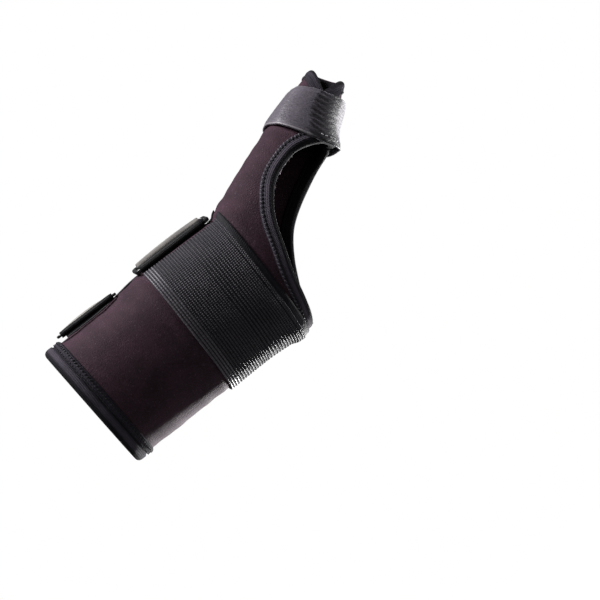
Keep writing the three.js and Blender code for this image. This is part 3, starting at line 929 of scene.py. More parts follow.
@dataclass(frozen=True)
class ClothFinish:
    """A cloth: two colours mixed by its unevenness and by painted shade in the hollows of its threads,
    knit and nap; lighter in places by abrasion and painted highlight, and darker where painted shade is
    marked.

    Attributes:
        name: The material's name.
        base: Colour of the lit face.
        deep: Colour of its darker tone, which the hollows of its threads, knit and nap also go towards as
            painted shade.
        roughness: How dull it is.
        sheen: Strength of the sheen of its fibres.
        sheen_colour: Its colour.
        threads: Pitch along, pitch across and slant of the threads in millimetres, or None.
        thread_depth: Height of the threads for the bump.
        knit: Size of the knit's loops in millimetres, or 0.
        knit_depth: Height of the loops.
        nap: Length and width of brushed fibres in millimetres, or None.
        nap_depth: Height of the fibres.
        specks: How much glossier the rare specks are, and how much lighter by a painted glint.
        cloud: Strength of the cloudy unevenness.
        specular: Level of the plain gloss.
        light: Colour of the specks' painted glints and of the points marked as abraded or given a painted
            highlight.
    """

    name: str
    base: Colour
    deep: Colour
    roughness: float = 0.8
    sheen: float = 0.1
    sheen_colour: Colour = (0.7, 0.65, 0.75)
    threads: Optional[tuple[float, float, float]] = None
    thread_depth: float = 0.0
    knit: float = 0.0
    knit_depth: float = 0.0
    nap: Optional[tuple[float, float]] = None
    nap_depth: float = 0.0
    specks: float = 0.0
    cloud: float = 0.5
    specular: float = 0.35
    light: Colour = (0.12, 0.11, 0.13)

    def material(self) -> bpy.types.Material:
        """Builds the material.

        Returns:
            The material.
        """
        made, n = start_material(self.name)
        mottle = n.use("mottle")
        share = n.math("MULTIPLY", mottle["Cloud"], self.cloud)
        share = n.math("ADD", share, n.math("MULTIPLY", mottle["Grain"], 1 - self.cloud))
        height = n.math("MULTIPLY", mottle["Grain"], 0.04)
        layers = []
        if self.threads:
            pitches = dict(zip(("Along pitch", "Across pitch", "Slant"), self.threads))
            layers.append((n.use("threads", pitches)["Woven"], 0.25, 1.0, self.thread_depth))
        if self.knit:
            layers.append((n.use("knit", {"Loop size": self.knit})["Loops"], 0.45, 1.0, self.knit_depth))
        brushed = n.use("nap", dict(zip(("Fibre length", "Fibre width"), self.nap or ())))
        if self.nap:
            layers.append((brushed["Fibres"], 0.55, 1.15, self.nap_depth))
        # Painted shade: the hollows of the threads, knit and nap darken the colour towards deep, as well
        # as the bump.
        for value, low, high, depth in layers:
            share = n.math("MULTIPLY", share, n.span(value, 0.0, 1.0, low, high))
            height = n.math("ADD", height, n.math("MULTIPLY", value, depth))
        rough = n.span(mottle["Grain"], 0.0, 1.0, self.roughness - 0.08, self.roughness + 0.08)
        colour = n.mix(share, rgba(self.deep), rgba(self.base))
        # Painted glints: the rare specks are made lighter as well as glossier.
        if self.specks:
            speck = n.math("MULTIPLY", brushed["Specks"], self.specks)
            colour = n.mix(speck, colour, rgba(self.light))
            rough = n.math("SUBTRACT", rough, n.math("MULTIPLY", speck, 0.35))
        # Points marked as abraded or given a painted highlight go towards the light colour.
        worn_and_highlit = n.add("ShaderNodeAttribute", attribute_name="wear").outputs["Fac"]
        worn_and_highlit = n.math("MULTIPLY", worn_and_highlit, n.span(mottle["Cloud"], 0.0, 1.0, 0.6, 1.0))
        colour = n.mix(worn_and_highlit, colour, rgba(self.light))
        # Painted shade: points with the shade mark go towards a third of the deep colour.
        shade = n.add("ShaderNodeAttribute", attribute_name="shade").outputs["Fac"]
        colour = n.mix(shade, colour, rgba(tuple(0.3 * c for c in self.deep)))
        relief = n.add("ShaderNodeBump", {"Height": height, "Distance": MM, "Strength": 1.0})
        n.surface(
            {
                "Base Color": colour,
                "Roughness": rough,
                "Normal": relief.outputs[0],
                "Specular IOR Level": self.specular,
                "Sheen Weight": self.sheen,
                "Sheen Roughness": 0.4,
                "Sheen Tint": rgba(self.sheen_colour),
            }
        )
        return made


@dataclass(frozen=True)
class PlasticFinish:
    """A moulded plastic with fine scuffs.

    Attributes:
        name: The material's name.
        base: Its colour.
        roughness: How dull it is.
    """

    name: str
    base: Colour
    roughness: float = 0.3

    def material(self) -> bpy.types.Material:
        """Builds the material.

        Returns:
            The material.
        """
        made, n = start_material(self.name)
        mottle = n.use("mottle")
        rough = n.span(mottle["Cloud"], 0.0, 1.0, self.roughness - 0.06, self.roughness + 0.12)
        colour = n.mix(mottle["Grain"], rgba(self.base), rgba(tuple(1.5 * c for c in self.base)))
        relief = n.add("ShaderNodeBump", {"Height": mottle["Grain"], "Distance": 0.03 * MM})
        n.surface({"Base Color": colour, "Roughness": rough, "Normal": relief.outputs[0]})
        return made


class Look(Enum):
    """Every finish of the splint."""

    NEOPRENE = ClothFinish(
        "neoprene", (0.056, 0.027, 0.039), (0.012, 0.007, 0.010), 0.7, 0.12, (0.9, 0.55, 0.8),
        knit=0.6, knit_depth=0.17, cloud=0.55, specks=0.22, specular=0.07, light=(0.16, 0.11, 0.14),
    )
    TAPE = ClothFinish(
        "binding_tape", (0.048, 0.040, 0.055), (0.010, 0.009, 0.013), 0.8, 0.03,
        threads=(0.8, 1.0, 0.5), thread_depth=0.3, cloud=0.45, specular=0.08, light=(0.115, 0.098, 0.125),
    )
    BORDER = ClothFinish(
        "border_tape", (0.014, 0.012, 0.015), (0.004, 0.004, 0.005), 0.6, 0.05,
        threads=(0.8, 1.0, 0.5), thread_depth=0.08, specular=0.12, light=(0.06, 0.055, 0.06),
    )
    ELASTIC = ClothFinish(
        "elastic_base", (0.022, 0.020, 0.025), (0.006, 0.006, 0.008), 0.7, 0.05,
        threads=(1.1, 1.5, 0.0), thread_depth=0.1, specular=0.1,
    )
    RIB = ClothFinish(
        "elastic_rib", (0.088, 0.080, 0.095), (0.014, 0.013, 0.016), 0.55, 0.05,
        threads=(1.15, 1000.0, 0.0), thread_depth=0.45, cloud=0.35, specular=0.13,
    )
    SELVEDGE = ClothFinish(
        "elastic_selvedge", (0.17, 0.155, 0.175), (0.025, 0.023, 0.028), 0.45, 0.05,
        threads=(1.6, 1000.0, 0.0), thread_depth=0.15, cloud=0.4, specular=0.3,
    )
    # Its light colour is the painted highlight on the tops of the tab folds.
    LAMINATE = ClothFinish(
        "laminate", (0.07, 0.062, 0.075), (0.022, 0.02, 0.025), 0.7, 0.1,
        knit=0.5, knit_depth=0.05, cloud=0.4, specular=0.2, light=(0.2, 0.19, 0.175),
    )
    # Its light colour is the painted highlight of the thumb strap.
    BRUSHED = ClothFinish(
        "brushed_laminate", (0.120, 0.104, 0.130), (0.036, 0.031, 0.040), 0.48, 0.25,
        knit=0.55, knit_depth=0.05, nap=(3.5, 0.6), nap_depth=0.12, cloud=0.4, specular=0.3,
        light=(0.62, 0.6, 0.62),
    )
    WEBBING = ClothFinish(
        "webbing", (0.010, 0.010, 0.011), (0.003, 0.003, 0.004), 0.6, 0.03,
        threads=(0.8, 0.8, 0.0), thread_depth=0.12, specular=0.1,
    )
    THREAD = ClothFinish(
        "thread", (0.11, 0.10, 0.12), (0.03, 0.028, 0.034), 0.5, 0.1, specular=0.3,
    )
    # Stitches made near white as painted glints on the thumb strap's low hem.
    PALE_THREAD = ClothFinish(
        "pale_thread", (0.6, 0.58, 0.6), (0.3, 0.29, 0.3), 0.5, 0.1, specular=0.3,
    )
    DARK_THREAD = ClothFinish(
        "dark_thread", (0.008, 0.007, 0.009), (0.002, 0.002, 0.003), 0.5, 0.02, specular=0.15,
    )
    PLASTIC = PlasticFinish("ring_plastic", (0.008, 0.008, 0.009), 0.24)


@dataclass(frozen=True)
class Thread:
    """What a row of stitches is sewn with.

    Attributes:
        pitch: Distance from one stitch to the next, in millimetres.
        length: Length of a stitch.
        thickness: Its thickness.
        look: Its finish.
    """

    pitch: float = 2.2
    length: float = 1.6
    thickness: float = 0.45
    look: Look = Look.THREAD


@dataclass
class Finishes:
    """The material of every finish and the rules for what repeats, built once.

    Attributes:
        made: The material of each finish.
        stitches: The rule that lays stitches.
        ribs: The rule that lays ribs.
    """

    made: dict[Look, bpy.types.Material] = field(init=False)
    stitches: RuleTree = field(init=False)
    ribs: RuleTree = field(init=False)

    def __post_init__(self) -> None:
        """Builds the shared groups, then each material and rule."""
        for build in (mottle_group, rows_group, knit_group, nap_group):
            build()
        self.made = {look: look.value.material() for look in Look}
        self.stitches, self.ribs = stitch_tree(), rib_tree()

    def __getitem__(self, look: Look) -> bpy.types.Material:
        """The material of a finish."""
        return self.made[look]

    def sew(self, piece: Piece, thread: Thread, points: Array, along: Array, out: Array) -> None:
        """Lays a stitch on each point.

        Args:
            piece: The piece to make.
            thread: What it is sewn with.
            points: The points, in millimetres.
            along: The way of the stitch at each.
            out: The way out of the cloth at each.
        """
        start = point_cloud(f"{piece.name}_marks", points, along, out)
        sizes = {"Length": thread.length * MM, "Thickness": thread.thickness * MM}
        self.stitches.apply(piece, start, {**sizes, "Material": self[thread.look]})


# Sewing


@dataclass(frozen=True)
class Seam:
    """Stitches one after another along lines.

    Attributes:
        piece: The piece it becomes.
        thread: What it is sewn with.
        reach: Half the length over which its direction is taken, in millimetres.
    """

    piece: Piece
    thread: Thread = Thread()
    reach: float = 0.4

    def sew(self, lines: Sequence[tuple[Array, Array]], finishes: Finishes) -> None:
        """Sews along lines.

        Args:
            lines: For each, its points and the ways out of the cloth there.
            finishes: The splint's finishes.
        """
        points, ways, outs = [], [], []
        for line, out in lines:
            along = lengths_along(line)
            wanted = np.arange(0.5 * self.thread.pitch, along[-1], self.thread.pitch)
            at, before, after, normal = (
                sampled(wanted + shift, along, values)
                for values, shift in ((line, 0.0), (line, -self.reach), (line, self.reach), (out, 0.0))
            )
            points.append(at)
            ways.append(unit(after - before))
            outs.append(unit(normal))
        finishes.sew(self.piece, self.thread, *(np.vstack(values) for values in (points, ways, outs)))


# Edges of the sleeve


@dataclass
class Edge:
    """A closed edge line on the sleeve, with the cloth on its left seen from outside.

    Attributes:
        rows: Rows of its points, evenly spaced.
        turns: Their turns.
    """

    rows: Array
    turns: Array

    @classmethod
    def through(cls, rows: Array, turns: Array, spacing: float) -> "Edge":
        """An edge with even points along a closed line.

        Args:
            rows: Rows of the line.
            turns: Turns of the line, without jumps, back at the start plus any whole turn.
            spacing: Distance between the points.

        Returns:
            The edge.
        """
        rows, turns = np.asarray(rows, float), np.asarray(turns, float)
        along = lengths_along(FORM.place(rows, turns))
        count = max(12, int(along[-1] / spacing))
        wanted = np.linspace(0, along[-1], count, endpoint=False)
        return cls(np.interp(wanted, along, rows), np.interp(wanted, along, turns))

    def ways(self) -> tuple[Array, Array, Array]:
        """Where the edge runs.

        Returns:
            Its points, directions along it and directions from it into the cloth.
        """
        points = FORM.place(self.rows, self.turns)
        along = unit(np.roll(points, -1, axis=0) - np.roll(points, 1, axis=0))
        along = unit(along + np.roll(along, 1, axis=0) + np.roll(along, -1, axis=0))
        out = FORM.normal(self.rows, self.turns)
        return points, along, unit(np.cross(out, along))

    def inside(self, distance: float) -> tuple[Array, Array]:
        """Rows and turns of the line that lies at a distance inside the edge."""
        _, _, inward = self.ways()
        return FORM.walk(self.rows, self.turns, inward, distance)

    def lengths(self) -> Array:
        """Length of the edge up to each point."""
        return lengths_along(FORM.place(self.rows, self.turns))

    def girth(self) -> float:
        """Length of the edge all the way round."""
        points = FORM.place(self.rows, self.turns)
        return float(self.lengths()[-1] + np.linalg.norm(points[0] - points[-1]))


def cuff_edge(spacing: float) -> Edge:
    """The edge of the cuff."""
    turns = np.linspace(360, 0, 241)
    return Edge.through(FORM.cuff_rows(turns), turns, spacing)


def thumb_edge(spacing: float) -> Edge:
    """The edge of the thumb end."""
    turns = np.linspace(0, 360, 481)
    return Edge.through(FORM.flap_rows(turns), turns, spacing)


@dataclass
class HandOpening:
    """The edge of the hand opening, drawn flat over X and Z and laid on the sleeve.

    Its points are shares of the way from the tip, at the little-finger side, to the web of the
    thumb: first along X, then along Z.

    Attributes:
        tip_reach: Wrist centre to the tip, along X.
        web_place: Where the edge meets the web, in rows past the thumb's root.
        run_on: How far the flat line is run on past its ends.
    """

    tip_reach: float = 29
    web_place: float = 0.06
    run_on: float = 33

    BACK = (
        (0, 0), (0.022, 0.08), (0.045, 0.192), (0.085, 0.39), (0.155, 0.605), (0.218, 0.785),
        (0.282, 0.9), (0.394, 1.03), (0.515, 1.1), (0.672, 1.143), (0.765, 1.136), (0.85, 1.11),
        (0.936, 1.067), (1, 1),
    )
    PALM = (
        (0, 0), (0.06, 0.13), (0.14, 0.3), (0.24, 0.5), (0.36, 0.67), (0.52, 0.79), (0.74, 0.9),
        (1, 1),
    )

    def half(self, shares: Sequence[tuple[float, float]], way: float) -> tuple[Array, Array]:
        """Lays one half of the edge on the sleeve.

        Args:
            shares: Its points.
            way: 1 for the back, -1 for the palm side.

        Returns:
            Rows and turns from the tip to the web.
        """
        ends = float(FORM.row_at(self.tip_reach)), FORM.THUMB_ROOT + self.web_place
        tip, web = FORM.place(np.array(ends), np.array([180.0, 180.0]))[:, [0, 2]]
        flat = smooth_line(tip + (web - tip) * np.array(shares, float), 300)
        first = unit(flat[0] - flat[1])
        lean = math.radians(FORM.section(np.array(ends[1]))[5])
        last = np.array([math.sin(lean), -math.cos(lean)])
        flat = np.vstack([flat[0] + first * self.run_on, flat, flat[-1] + last * self.run_on])
        share = (1 - np.cos(np.linspace(0, math.pi, 260))) / 2
        rows = ends[0] + (ends[1] - ends[0]) * share

        def past(turned: Array) -> Array:
            """Above zero where a place lies outside the opening."""
            at = FORM.place(rows, 180 + way * turned)[:, [0, 2]]
            return signed_gap(flat, at)

        turned = FORM.row_where(past, 0.0, 150.0, len(rows))
        turned[[0, -1]] = 0
        return rows, 180 + way * turned

    def edge(self, spacing: float) -> Edge:
        """The whole closed edge, over the back and home over the palm side.

        Args:
            spacing: Distance between its points.

        Returns:
            The edge.
        """
        back_rows, back_turns = self.half(self.BACK, 1)
        palm_rows, palm_turns = self.half(self.PALM, -1)
        rows = np.concatenate([back_rows, palm_rows[-2::-1]])
        turns = np.concatenate([back_turns, palm_turns[-2::-1]])
        return Edge.through(rows, turns, spacing)


def signed_gap(line: Array, at: Array) -> Array:
    """Distance of flat points from a line, above zero on its left.

    Args:
        line: Points of the line.
        at: The points.

    Returns:
        One distance for each point.
    """
    a, b = line[None, :-1], line[None, 1:]
    way = b - a
    to = at[:, None] - a
    share = np.clip(np.sum(to * way, -1) / np.maximum(np.sum(way * way, -1), 1e-9), 0, 1)
    gap = np.linalg.norm(to - way * share[..., None], axis=-1)
    nearest = np.argmin(gap, axis=1)
    pick = np.arange(len(at))
    cross = way[0, nearest, 0] * to[pick, nearest, 1] - way[0, nearest, 1] * to[pick, nearest, 0]
    return np.sign(cross) * gap[pick, nearest]


# The sleeve


@dataclass
class Sleeve:
    """The neoprene gauntlet.

    Attributes:
        finishes: The splint's finishes.
        rows: Cells along it.
        columns: Cells round it.
        swell: Height of the soft unevenness, in millimetres.
        strap_half: Half the width of the wrist strap, whose edges press a swelling up.
    """

    finishes: Finishes
    rows: int = 210
    columns: int = 168
    swell: float = 0.35
    strap_half: float = 25

    def relief(self, row: Array, turn: Array, at: Array) -> Array:
        """How far the cloth swells or sinks, clear of what lies on it.

        Args:
            row: Places along the table.
            turn: Turns in degrees.
            at: The points there.

        Returns:
            One height for each, in millimetres.
        """
        x = at[..., 0]
        waves = np.sin(0.19 * x + 1.3 * np.sin(np.radians(turn)))
        waves = waves * np.sin(np.radians(2.6 * turn) + 0.11 * x)
        fine = np.sin(0.43 * x + np.radians(5.2 * turn)) * np.sin(0.31 * x - np.radians(3 * turn))
        soft = self.swell * (0.7 * waves + 0.4 * fine)
        beside = 0.55 * bump(self.strap_half + 3.2, 6, np.abs(x))
        under = smoothstep(self.strap_half + 1.5, self.strap_half - 1.5, np.abs(x))
        under = np.maximum(under, smoothstep(8.0, 8.25, row))
        under = np.maximum(under, smoothstep(-76, -80, x))
        return (soft + beside) * (1 - under) - 0.1

    def build(self) -> None:
        """Makes the sleeve with its opening cut out."""
        turns = np.linspace(0, 360, self.columns, endpoint=False)
        first, last = FORM.cuff_rows(turns), FORM.flap_rows(turns)
        share = np.linspace(0, 1, self.rows + 1)[:, None]
        row = first + (last - first) * share
        turn = np.broadcast_to(turns, row.shape)
        at = FORM.place(row, turn)
        out = FORM.normal(row, turn)
        outer = at + out * self.relief(row, turn, at)[..., None]
        inner = FORM.place(row, turn, -FORM.wall)
        edge = HandOpening().edge(1.5)
        middle_row = (row[:-1] + row[1:]) / 2
        middle_turn = turn[:-1] + 180 / self.columns
        keep = ~self.within(edge, middle_row, middle_turn)
        shell = Shell(outer, inner, round_columns=True, keep=keep)
        piece = Piece("sleeve", Slot.NEOPRENE, ("sleeve_body",))
        sleeve = shell.make(piece, self.finishes[Look.NEOPRENE], cloth_map(row * 20, turns * 0.6))

    @staticmethod
    def within(edge: Edge, row: Array, turn: Array) -> Array:
        """Which places lie inside a closed line of rows and turns.

        Args:
            edge: The line.
            row: Places along the table.
            turn: Turns in degrees.

        Returns:
            True for each place inside.
        """
        a_row, a_turn = edge.rows, edge.turns
        b_row, b_turn = np.roll(a_row, -1), np.roll(a_turn, -1)
        r, t = row[..., None], turn[..., None]
        crosses = (a_turn > t) != (b_turn > t)
        slope = np.where(b_turn == a_turn, 1e-9, b_turn - a_turn)
        hit = r < (b_row - a_row) * (t - a_turn) / slope + a_row
        return np.sum(crosses & hit, -1) % 2 == 1


# Bindings


@dataclass(frozen=True)
class StitchRow:
    """One row of stitches along a binding.

    Attributes:
        name: Ending of its piece's name.
        inward: Distance from the edge, in millimetres.
        thread: What it is sewn with.
        slant: How far its stitches lean along the row, 0 where they lie across it.
        lift: How high their middle lies over the tape.
    """

    name: str
    inward: float
    thread: Thread
    slant: float
    lift: float

    def sew(self, name: str, edge: Edge, height: float, finishes: Finishes) -> None:
        """Sews the row as a piece of its own.

        Args:
            name: Start of the piece's name.
            edge: The edge that the row follows.
            height: Height of the tape under it.
            finishes: The splint's finishes.
        """
        along = np.append(edge.lengths(), edge.girth())
        count = int(along[-1] / self.thread.pitch)
        wanted = (np.arange(count) + 0.5) * along[-1] / count
        row, turn = edge.inside(self.inward)
        points, out = FORM.place(row, turn), FORM.normal(row, turn)
        line = unit(np.roll(points, -1, axis=0) - np.roll(points, 1, axis=0))
        lean = unit(self.slant * line + np.cross(out, line))

        def taken(values: Array) -> Array:
            """Values at the stitches."""
            return sampled(wanted, along, np.vstack([values, values[:1]]))

        piece = Piece(f"{name}_{self.name}", Slot.TAPE)
        over = points + out * (height + self.lift)
        finishes.sew(piece, self.thread, taken(over), taken(lean), taken(out))


@dataclass
class Binding:
    """Tape folded over one edge, with a rolled outer band, a groove and a stitched ridge.

    Attributes:
        name: The piece's name.
        node: The solid it stands for.
        edge: The edge it is folded over.
        width: How far it reaches over the cloth.
        finishes: The splint's finishes.
        rows: Its rows of stitches.
        groove: Where its groove lies, from the edge.
        groove_share: Depth of the groove, as a share of the height.
        height: How far it stands off the cloth.
        pitch: Distance between the puckers that the stitches draw.
        pucker: Their height.
        nose: How far inside the edge the round of the fold starts.
        nose_out: How far the fold stands out past the edge.
        worn_and_highlit: How much lighter its high places are, by abrasion and painted highlight.
        dark_edge: How far the painted shade on its outer band reaches.
    """

    name: str
    node: str
    edge: Edge
    width: float
    finishes: Finishes
    rows: tuple[StitchRow, ...] = ()
    groove: float = 3.9
    groove_share: float = 0.85
    height: float = 1.1
    pitch: float = 2.4
    pucker: float = 0.16
    nose: float = 1.5
    nose_out: float = 1.1
    worn_and_highlit: float = 0.5
    dark_edge: float = 1.4

    def profile(self, along: Array, inward: Array) -> Array:
        """Height of the tape over the cloth.

        Args:
            along: Lengths along the tape.
            inward: Distance from the edge.

        Returns:
            One height for each length.
        """
        end = smoothstep(self.width, self.width - 0.8, inward)
        groove = self.groove_share * bump(self.groove, 0.9, inward)
        roll = 0.12 * bump(0.5 * self.groove, self.groove, inward)
        ridge = smoothstep(self.groove + 0.3, self.groove + 1.2, inward) * end
        wave = np.sin(2 * np.pi * (along / self.pitch + 0.18 * inward))
        sag = 0.05 * np.sin(along * 0.21) + 0.03 * np.sin(along * 0.53 + 1.1)
        tall = (self.height - 0.1 + roll - groove * self.height + sag) * end
        return tall + self.pucker * ridge * wave + 0.04

    def marks(self, along: Array, inward: Array) -> tuple[Array, Array]:
        """How much abrasion with painted highlight, and how much painted shade, the tape has.

        Args:
            along: Lengths along the tape.
            inward: Distances from the edge.

        Returns:
            The shares of abrasion with painted highlight, and of painted shade.
        """
        # Lighter on the rolled band and along the stitched ridge: abrasion and painted highlight.
        worn_and_highlit = 0.55 * bump(0.5 * self.groove, 0.8 * self.groove, inward)
        ridge = 0.5 * (self.groove + self.width)
        worn_and_highlit = worn_and_highlit + 0.5 * bump(ridge, 1.2, inward) * (0.6 + 0.4 * np.sin(2 * np.pi * along / self.pitch))
        # Painted shade in the groove, a painted shadow line at the tape's inner end, and painted shade on
        # the outer band and round the fold.
        groove = self.groove_share * bump(self.groove, 0.9, inward)
        shade = np.maximum(groove, smoothstep(self.width - 0.35, self.width, inward))
        shade = np.maximum(shade, 0.85 * smoothstep(self.dark_edge, self.dark_edge - 0.8, inward))
        return self.worn_and_highlit * worn_and_highlit, np.broadcast_to(shade, worn_and_highlit.shape)

    def build(self) -> None:
        """Makes the tape and its stitches."""
        edge = self.edge
        along = edge.lengths()
        distances = np.concatenate(
            [np.linspace(self.width, self.groove + 0.9, 9), np.linspace(self.groove + 0.6, self.nose, 10)]
        )
        outer, hidden, inner, inner_hidden = [], [], [], []
        for distance in distances:
            row, turn = edge.inside(distance)
            at, out = FORM.place(row, turn), FORM.normal(row, turn)
            rise = self.profile(along, distance)[:, None]
            outer.append(at + out * rise)
            hidden.append(at + out * 0.02)
            flat = np.minimum(rise, self.height)
            inner.append(at - out * (FORM.wall + flat))
            inner_hidden.append(at - out * (FORM.wall + 0.02))
        row, turn = edge.inside(self.nose)
        base, out = FORM.place(row, turn), FORM.normal(row, turn)
        ahead = unit(FORM.place(edge.rows, edge.turns) - base)
        centre = base - out * (FORM.wall / 2)
        tall = FORM.wall / 2 + self.height
        far = self.nose + self.nose_out
        bends, hidden_bends, bend_v = [], [], []
        for turned in np.radians(np.linspace(0, 180, 15)[1:-1]):
            c, s = math.cos(turned), math.sin(turned)
            bends.append(centre + out * (tall * c) + ahead * (far * s))
            hidden_bends.append(centre + out * (FORM.wall / 2 * c) + ahead * (self.nose * s))
            bend_v.append(self.nose - far * s if c > 0 else -self.nose)
        grid = np.stack([*outer, *bends, *inner[::-1]], 1)
        cover = np.stack([*hidden, *hidden_bends, *inner_hidden[::-1]], 1)
        shell = Shell(grid, cover, round_rows=True)
        v = np.array([*distances, *bend_v, *(-2 - d for d in distances[::-1])])
        uv = cloth_map(along[:, None], v[None, :])
        worn_and_highlit, shade = self.marks(along[:, None], v[None, :])
        piece = Piece(self.name, Slot.TAPE, (self.node,))
        shell.make(piece, self.finishes[Look.TAPE], uv, wear=worn_and_highlit, shade=shade)
        for sewn in self.rows:
            sewn.sew(self.name, edge, self.height, self.finishes)


# Straps that lie on the sleeve


@dataclass
class WristStrap:
    """The wide ribbed elastic round the wrist.

    Attributes:
        finishes: The splint's finishes.
        width: Its width.
        thickness: Its thickness.
        ribs: How many ribs lie side by side.
        selvedge: How many of them are the brighter ones at the forearm side.
        bare: How many are left out at the hand side, where the cloth is smooth.
        start: Angle where it leaves the ring, on the back.
        end: Angle where it ends on the palm side.
        clearance: Gap under it.
        lift_height: How high it is lifted over the hand opening's tape.
        lift_from: Where the lift starts, along X.
        lift_to: Where it is whole.
        rib_base: Height of the ribs' middle lines over the sleeve.
    """

    finishes: Finishes
    width: float = 50
    thickness: float = 1.6
    ribs: int = 33
    selvedge: int = 4
    bare: int = 2
    start: float = -24
    end: float = -318
    clearance: float = 0.3
    lift_height: float = 1.2
    lift_from: float = 12
    lift_to: float = 18
    rib_base: float = 1.3

    def angles(self, spacing: float) -> Array:
        """Even places along the strap.

        Args:
            spacing: Distance between them, in millimetres.

        Returns:
            The angles in degrees.
        """
        angles = np.linspace(self.start, self.end, STRAP_SAMPLES)
        along = lengths_along(FORM.place(FORM.WRIST, FORM.turn_of(angles)))
        count = int(along[-1] / spacing)
        return np.interp(np.linspace(0, along[-1], count), along, angles)

    def lift(self, x: Array, angle: Array) -> Array:
        """How far the strap is lifted where the hand binding lies under it."""
        crossing = 1 - smoothstep(62, 75, np.abs(angle + 180))
        return self.lift_height * crossing * smoothstep(self.lift_from, self.lift_to, x)

    def at(self, x: Array, angle: Array, offset: Array) -> Array:
        """Points on the strap at x, an angle and a height over the sleeve."""
        return FORM.place(FORM.row_at(x), FORM.turn_of(angle), offset + self.lift(x, angle))

    def build(self) -> None:
        """Makes the strap's cloth and its ribs."""
        half = self.width / 2
        angle = self.angles(2.0)[:, None]
        x = np.concatenate([[-half], np.linspace(-half + 0.4, half - 0.4, 41), [half]])[None, :]
        top = self.clearance + self.thickness - 0.55
        drop = 0.35 * smoothstep(half - 0.5, half, np.abs(x))
        grid = self.at(x, angle, top - drop + 0 * angle)
        under = self.at(x, angle, self.clearance + drop * 0.5 + 0 * angle)
        shell = Shell(grid[::-1], under[::-1])
        along = lengths_along(self.at(np.zeros(len(angle)), angle[:, 0], top))[::-1]
        piece = Piece("elastic", Slot.ELASTIC, ("wrist_strap",))
        shell.make(piece, self.finishes[Look.ELASTIC], cloth_map(along[:, None], x))
        self.lay_ribs()

    def lay_ribs(self) -> None:
        """Lays the selvedge's and the inner ribs side by side over the cloth."""
        half, pitch = self.width / 2, self.width / self.ribs
        places = -half + pitch * (np.arange(self.ribs) + 0.5)
        self.ribs_at("elastic_selvedge", places[: self.selvedge], 0.4 * pitch, Look.SELVEDGE)
        self.ribs_at("elastic_ribs", places[self.selvedge : -self.bare], 0.38 * pitch, Look.RIB)

    def ribs_at(self, name: str, places: Array, radius: float, look: Look) -> None:
        """Lays ribs along the strap.

        Args:
            name: The piece's name.
            places: Where each lies, along X.
            radius: Half their thickness.
            look: Their finish.
        """
        angle = self.angles(1.3)
        lines = [self.at(np.full(len(angle), x), angle, self.rib_base) for x in places]
        steps = np.stack([np.arange(len(angle) - 1), np.arange(1, len(angle))], -1)
        edges = np.vstack([steps + k * len(angle) for k in range(len(lines))])
        mesh = bpy.data.meshes.new(name + "_lines")
        mesh.from_pydata((np.vstack(lines) * MM).tolist(), edges.tolist(), [])
        looks = {"Radius": radius * MM, "Sides": 8, "Material": self.finishes[look]}
        self.finishes.ribs.apply(Piece(name, Slot.ELASTIC), mesh, looks)


